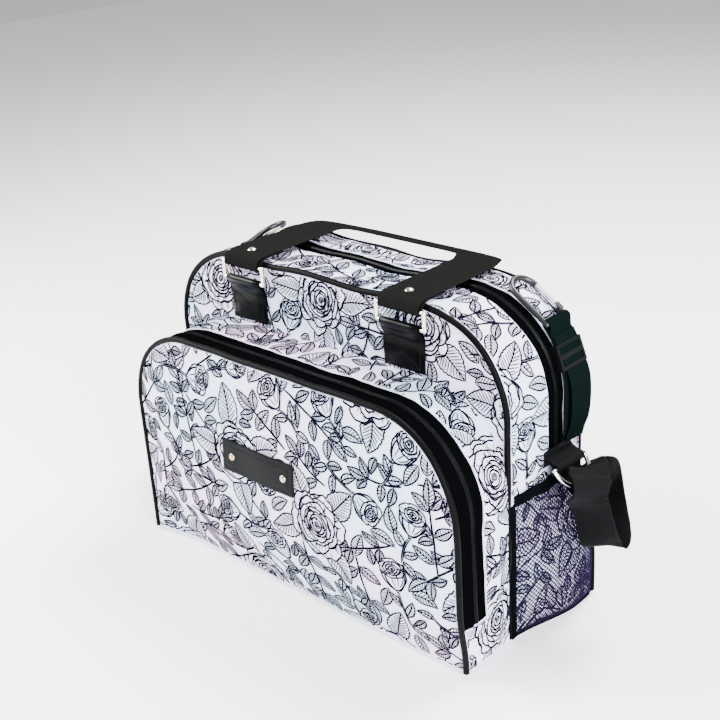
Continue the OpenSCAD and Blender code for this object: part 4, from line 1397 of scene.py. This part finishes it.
def d_tab(side, s):
    r = BAR + 0.0012
    prof = [(HALF + 0.0012, DZ - 0.003), (HALF + 0.0014, DZ + 0.004), (HALF + 0.0032, DZ + 0.0068)]
    prof += [(HALF + 0.008, DZ + 0.0058), (DX - 0.0035, DZ + 0.0038)]
    prof += [(DX + r * math.cos(a), DZ + r * math.sin(a)) for a in np.radians([80, 35, -10, -60, -110])]
    prof += [(DX - 0.0045, DZ + 0.0003), (HALF + 0.008, DZ + 0.0030), (HALF + 0.0042, DZ + 0.0052)]
    prof += [(HALF + 0.0028, DZ + 0.010)]
    prof = spline(prof, 0.0015)
    path = np.c_[s * prof[:, 0], np.full(len(prof), DY), prof[:, 1]]
    v, f, uv = ribbon_data(path, (0, 1.0, 0), 0.037, 0.0016)
    if s < 0:
        f = [q[::-1] for q in f]
    # patch sewn over the tab's foot and the zip's end
    patch = [(s * (HALF + 0.0036), DY, z) for z in np.linspace(DZ + 0.0005, DZ + 0.0125, 6)]
    patch = (*ribbon_data(patch, (0, 1.0, 0), 0.039, 0.0014), 0)
    o = joined("d_ring_webbing_" + side, [(v, f, uv, 0), patch], [STRAP])
    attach(o, "bag")
    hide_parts("d_ring_tab_" + side)


d_tab("right", 1)
d_tab("left", -1)


# ------------------------------------------------------------------ shoulder strap
def strap_side(s):
    """From the ring outwards, over a loose loop and behind the bag, as (point, width direction)."""
    st, ct = math.sin(TILT), math.cos(TILT)

    def ring_pt(off, down):
        """Point in the ring's plane frame: off outwards from the plane, down along it."""
        return (DX + off * ct + down * st, DY, DZ + off * st - down * ct)

    b = D_R + 0.0001
    keys = [
        (ring_pt(-0.0045, 0.002), (0, 1, 0), 0.030),
        (ring_pt(-0.0042, 0.013), (0, 1, 0), 0.030),
        (ring_pt(-0.0032, b + 0.0012), (0, 1, 0), 0.030),
        (ring_pt(0.0, b + 0.0036), (0, 1, 0), 0.030),
        (ring_pt(0.0036, b + 0.0008), (0, 1, 0), 0.031),
        (ring_pt(0.0058, 0.013), (0.0, 1, -0.02), 0.033),
        ((0.2358, 0.0425, 0.1575), (0.02, 1.00, 0.06), 0.036),
        ((0.2413, 0.0370, 0.1540), (0.05, 0.99, 0.08), 0.038),
        ((0.2465, 0.0315, 0.1500), (0.10, 0.99, -0.03), 0.038),
        ((0.2495, 0.0265, 0.1430), (0.35, 0.92, -0.16), 0.036),
        ((0.2461, 0.0277, 0.1349), (0.82, 0.58, 0.05), 0.034),
        ((0.2456, 0.0344, 0.1231), (0.97, 0.12, 0.23), 0.036),
        ((0.2467, 0.0390, 0.1096), (0.96, 0.02, 0.27), 0.038),
        ((0.2478, 0.0430, 0.0937), (0.96, 0.13, 0.26), 0.038),
        ((0.2495, 0.0468, 0.0853), (0.92, 0.28, 0.26), 0.038),
        ((0.2501, 0.0525, 0.0843), (0.89, 0.33, 0.32), 0.038),
        ((0.2499, 0.0560, 0.0897), (0.87, 0.31, 0.38), 0.038),
        ((0.2490, 0.0570, 0.1006), (0.87, 0.24, 0.44), 0.038),
        ((0.2468, 0.0590, 0.1110), (0.83, 0.16, 0.54), 0.038),
        ((0.2428, 0.0640, 0.1200), (0.72, 0.15, 0.68), 0.038),
        ((0.2368, 0.0730, 0.1255), (0.60, 0.15, 0.79), 0.038),
        ((0.2285, 0.0850, 0.1255), (0.45, 0.16, 0.88), 0.038),
        ((0.2180, 0.0955, 0.1180), (0.20, 0.15, 0.97), 0.038),
        ((0.2040, 0.1010, 0.1045), (-0.20, 0.08, 0.97), 0.038),
        ((0.1880, 0.1005, 0.0860), (-0.50, 0, 0.87), 0.038),
        ((0.1710, 0.0980, 0.0670), (-0.62, 0, 0.78), 0.038),
        ((0.1530, 0.0965, 0.0490), (-0.62, 0, 0.78), 0.038),
        ((0.1340, 0.0955, 0.0350), (-0.45, 0, 0.89), 0.038),
        ((0.1120, 0.0950, 0.0265), (-0.22, 0, 0.97), 0.038),
        ((0.0850, 0.0950, 0.0235), (-0.04, 0, 1), 0.038),
        ((0.0400, 0.0950, 0.0232), (0, 0, 1), 0.038),
        ((0.0, 0.0950, 0.0232), (0, 0, 1), 0.038),
    ]
    return [((s * p[0], p[1], p[2]), (s * d[0], d[1], d[2]), w) for p, d, w in keys]


def shoulder():
    # the left half mirrors the right one, so width directions carry on through the middle
    keys = strap_side(1) + strap_side(-1)[-2::-1]
    pts = [k[0] for k in keys]
    path = spline(pts, 0.003)
    # each key takes effect at the path's nearest point
    d = run_length(path)
    near = [int(np.argmin(np.linalg.norm(path - np.array(p), axis=1))) for p in pts]
    near = np.maximum.accumulate(near)
    at = d[near] + np.arange(len(near)) * 1e-7
    dirs = unit(np.array([k[1] for k in keys], float))
    wid = np.array([k[2] for k in keys])
    across = np.stack([np.interp(d, at, dirs[:, i]) for i in range(3)], 1)
    width = np.interp(d, at, wid)
    path = path + 0.0004 * waves(path, 81, 0.06)[:, None] * (0, 1.0, 0)
    o = joined("shoulder_strap_webbing", [(*ribbon_data(path, across, width, 0.0016), 0)], [STRAP])
    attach(o, "bag")
    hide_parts("shoulder_strap")


shoulder()


# ------------------------------------------------------------------ stroller straps
CX, CZ = HALF - R_MAIN, TOP - R_MAIN


def stroller(side, s):
    yc, wide, th = middle("stroller_strap_right")[1], 0.0295, 0.0015
    ri = R_MAIN + 0.0044
    ro = ri + 0.0017
    a_end, hook = math.radians(38), math.radians(39.8)
    px, pz = CX + (R_MAIN + 0.0076) * math.cos(hook), CZ + (R_MAIN + 0.0076) * math.sin(hook)
    rr = 0.0026 + 0.0012
    base = math.atan2(pz - CZ, px - CX)

    def on_corner(r, angles):
        return [(CX + r * math.cos(a), CZ + r * math.sin(a)) for a in angles]

    # up under the clip's bar, round it, and back on top
    run = [(HALF + 0.0016, DZ + 0.0085), (HALF + 0.0022, DZ + 0.0135), (HALF + 0.0040, DZ + 0.020)]
    run += [(CX + ri, DZ + 0.034), (CX + ri, CZ - 0.008), *on_corner(ri, np.linspace(0.04, a_end - 0.05, 9))]
    turn = base + np.radians([170, 125, 80, 35, -10, -50])
    run += [(px + rr * math.cos(q), pz + rr * math.sin(q)) for q in turn]
    run += on_corner(ro, np.linspace(a_end - 0.07, 0.42, 6))
    p2 = spline(run, 0.0022)
    path = np.c_[s * p2[:, 0], np.full(len(p2), yc), p2[:, 1]]
    length = float(run_length(path)[-1])
    parts = [(*ribbon_data(path, (0, 1.0, 0), wide, th), 0)]
    # slack outer run from the slide down to the foot
    out = on_corner(ro + 0.0003, (0.60, 0.50, 0.40, 0.30))
    out += [(HALF + 0.0082, CZ + 0.012), (HALF + 0.0100, CZ - 0.008), (HALF + 0.0092, CZ - 0.026)]
    out += [(HALF + 0.0062, DZ + 0.018), (HALF + 0.0046, DZ + 0.0100)]
    p2 = spline(out, 0.0025)
    t = np.linspace(0, 1, len(p2))
    path = np.c_[s * p2[:, 0], yc + 0.003 * np.sin(np.pi * t), p2[:, 1]]
    length += float(run_length(path)[-1])
    parts.append((*ribbon_data(path, (0, 1.0, 0), wide * (1 - 0.12 * t**2), th), 0))
    # doubled hem near the slide
    hem = p2[1:6]
    hp = np.c_[s * hem[:, 0], np.full(len(hem), yc), hem[:, 1]]
    up = unit(np.c_[s * (hem[:, 0] - CX), np.zeros(len(hem)), hem[:, 1] - CZ])
    parts.append((*ribbon_data(hp + up * 0.0013, (0, 1.0, 0), wide, 0.0012), 0))
    o = joined("stroller_strap_webbing_" + side, parts, [GREEN])
    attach(o, "bag")
    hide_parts("stroller_strap_" + side)


stroller("right", 1)
stroller("left", -1)


# ------------------------------------------------------------------ pulls: cord loop of the pocket zip
def pocket_pull():
    x = low("pocket_zip_pull")[0] + 0.0018
    zt, zb = high("pocket_zip_pull")[2] - 0.0008, low("pocket_zip_pull")[2]
    yc = middle("pocket_zip_pull")[1]
    leg_points = [(0.0012, zt - 0.009), (0.0024, zt - 0.014), (0.0040, zt - 0.022), (0.0046, zt - 0.030)]
    leg_points += [(0.0030, zb + 0.0035)]
    cord = [(yc - y, z) for y, z in leg_points] + [(yc, zb + 0.0022)] + [(yc + y, z) for y, z in leg_points[::-1]]
    # metal link through the slider's bridge
    link_points = [(yc - 0.0034, zt - 0.0015), (yc - 0.0034, zt - 0.0085), (yc, zt - 0.0100)]
    link_points += [(yc + 0.0034, zt - 0.0085), (yc + 0.0034, zt - 0.0015), (yc, zt - 0.0004), link_points[0]]
    parts = []
    for slot, (pts, step, thick) in enumerate(((cord, 0.0008, 0.0016), (link_points, 0.0006, 0.0008))):
        p = spline(pts, step)
        v, f, _ = tube(np.c_[np.full(len(p), x), p], thick, 10)
        parts.append((v, f if slot == 0 else f[:-2], np.zeros((len(v), 2)), slot))
    o = joined("pocket_zip_cord_pull", parts, [PULLER, ZIPMETAL])
    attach(o, "pocket_zip_pull")
    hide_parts("pocket_zip_pull")


pocket_pull()


# ------------------------------------------------------------------ finishes of the CAD parts that stay
FINISH = {
    "base_board": BOARD,
    "main_zip_slider": ZIPMETAL,
    "main_zip_pull": ZIPMETAL,
    "pocket_zip_slider": ZIPMETAL,
    "front_ring_left": GOLD,
    "front_ring_right": GOLD,
    "back_ring_left": GOLD,
    "back_ring_right": GOLD,
    "front_handle_rivets": GOLD,
    "back_handle_rivets": GOLD,
    "d_ring_left": SILVER,
    "d_ring_right": SILVER,
    "shoulder_slide": PLASTIC,
    "stroller_slide_left": PLASTIC,
    "stroller_slide_right": PLASTIC,
    "clip_left": CLIP,
    "clip_right": CLIP,
    "clip_gate_left": STEEL,
    "clip_gate_right": STEEL,
}
for name, m in FINISH.items():
    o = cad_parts[name]
    o.data.materials.clear()
    o.data.materials.append(m)

# ------------------------------------------------------------------ floor, light and camera
bpy.ops.mesh.primitive_plane_add(size=8, location=(0, 0, -0.0006))
floor = bpy.context.object
floor.name = "floor"
fm = material("floor_white", (0.97, 0.97, 0.975), 0.8)
floor.data.materials.append(fm)

world = bpy.data.worlds.new("studio")
bpy.context.scene.world = world
world.use_nodes = True
world.node_tree.nodes["Background"].inputs["Color"].default_value = (0.93, 0.95, 1.0, 1)
world.node_tree.nodes["Background"].inputs["Strength"].default_value = 0.62


def area(name, at, to, size, watts, color=(1, 1, 1)):
    d = bpy.data.lights.new(name, "AREA")
    d.shape, d.size, d.energy, d.color = "DISK", size, watts, color
    o = bpy.data.objects.new(name, d)
    bpy.context.scene.collection.objects.link(o)
    o.location = at
    o.rotation_mode = "QUATERNION"
    o.rotation_quaternion = (Vector(to) - Vector(at)).to_track_quat("-Z", "Y")
    return o


area("key", (-0.95, -0.55, 0.85), (-0.05, 0, 0.15), 0.9, 60, (1.0, 0.98, 0.97))
area("fill", (1.7, -0.7, 0.9), (0, 0, 0.12), 1.4, 150, (0.96, 0.97, 1.0))
area("top", (0.2, 0.9, 1.8), (0, 0, 0.2), 1.0, 115)

cam = bpy.data.cameras.new("camera")
cam.lens, cam.sensor_width, cam.sensor_fit = 60.5, 36, "HORIZONTAL"
cam.clip_start, cam.clip_end = 0.05, 50
co = bpy.data.objects.new("camera", cam)
bpy.context.scene.collection.objects.link(co)
pos, target = Vector((0.7176, -0.7122, 0.6467)), Vector((-0.010, 0.034, 0.1944))
fwd = (target - pos).normalized()
right = fwd.cross(Vector((0, 0, 1))).normalized()
up = right.cross(fwd)
roll = math.radians(-3.60)
r_ax = right * math.cos(roll) + up * math.sin(roll)
u_ax = up * math.cos(roll) - right * math.sin(roll)
mat = [[r_ax[i], u_ax[i], -fwd[i], pos[i]] for i in range(3)] + [[0, 0, 0, 1]]

co.matrix_world = Matrix(mat)
bpy.context.scene.camera = co
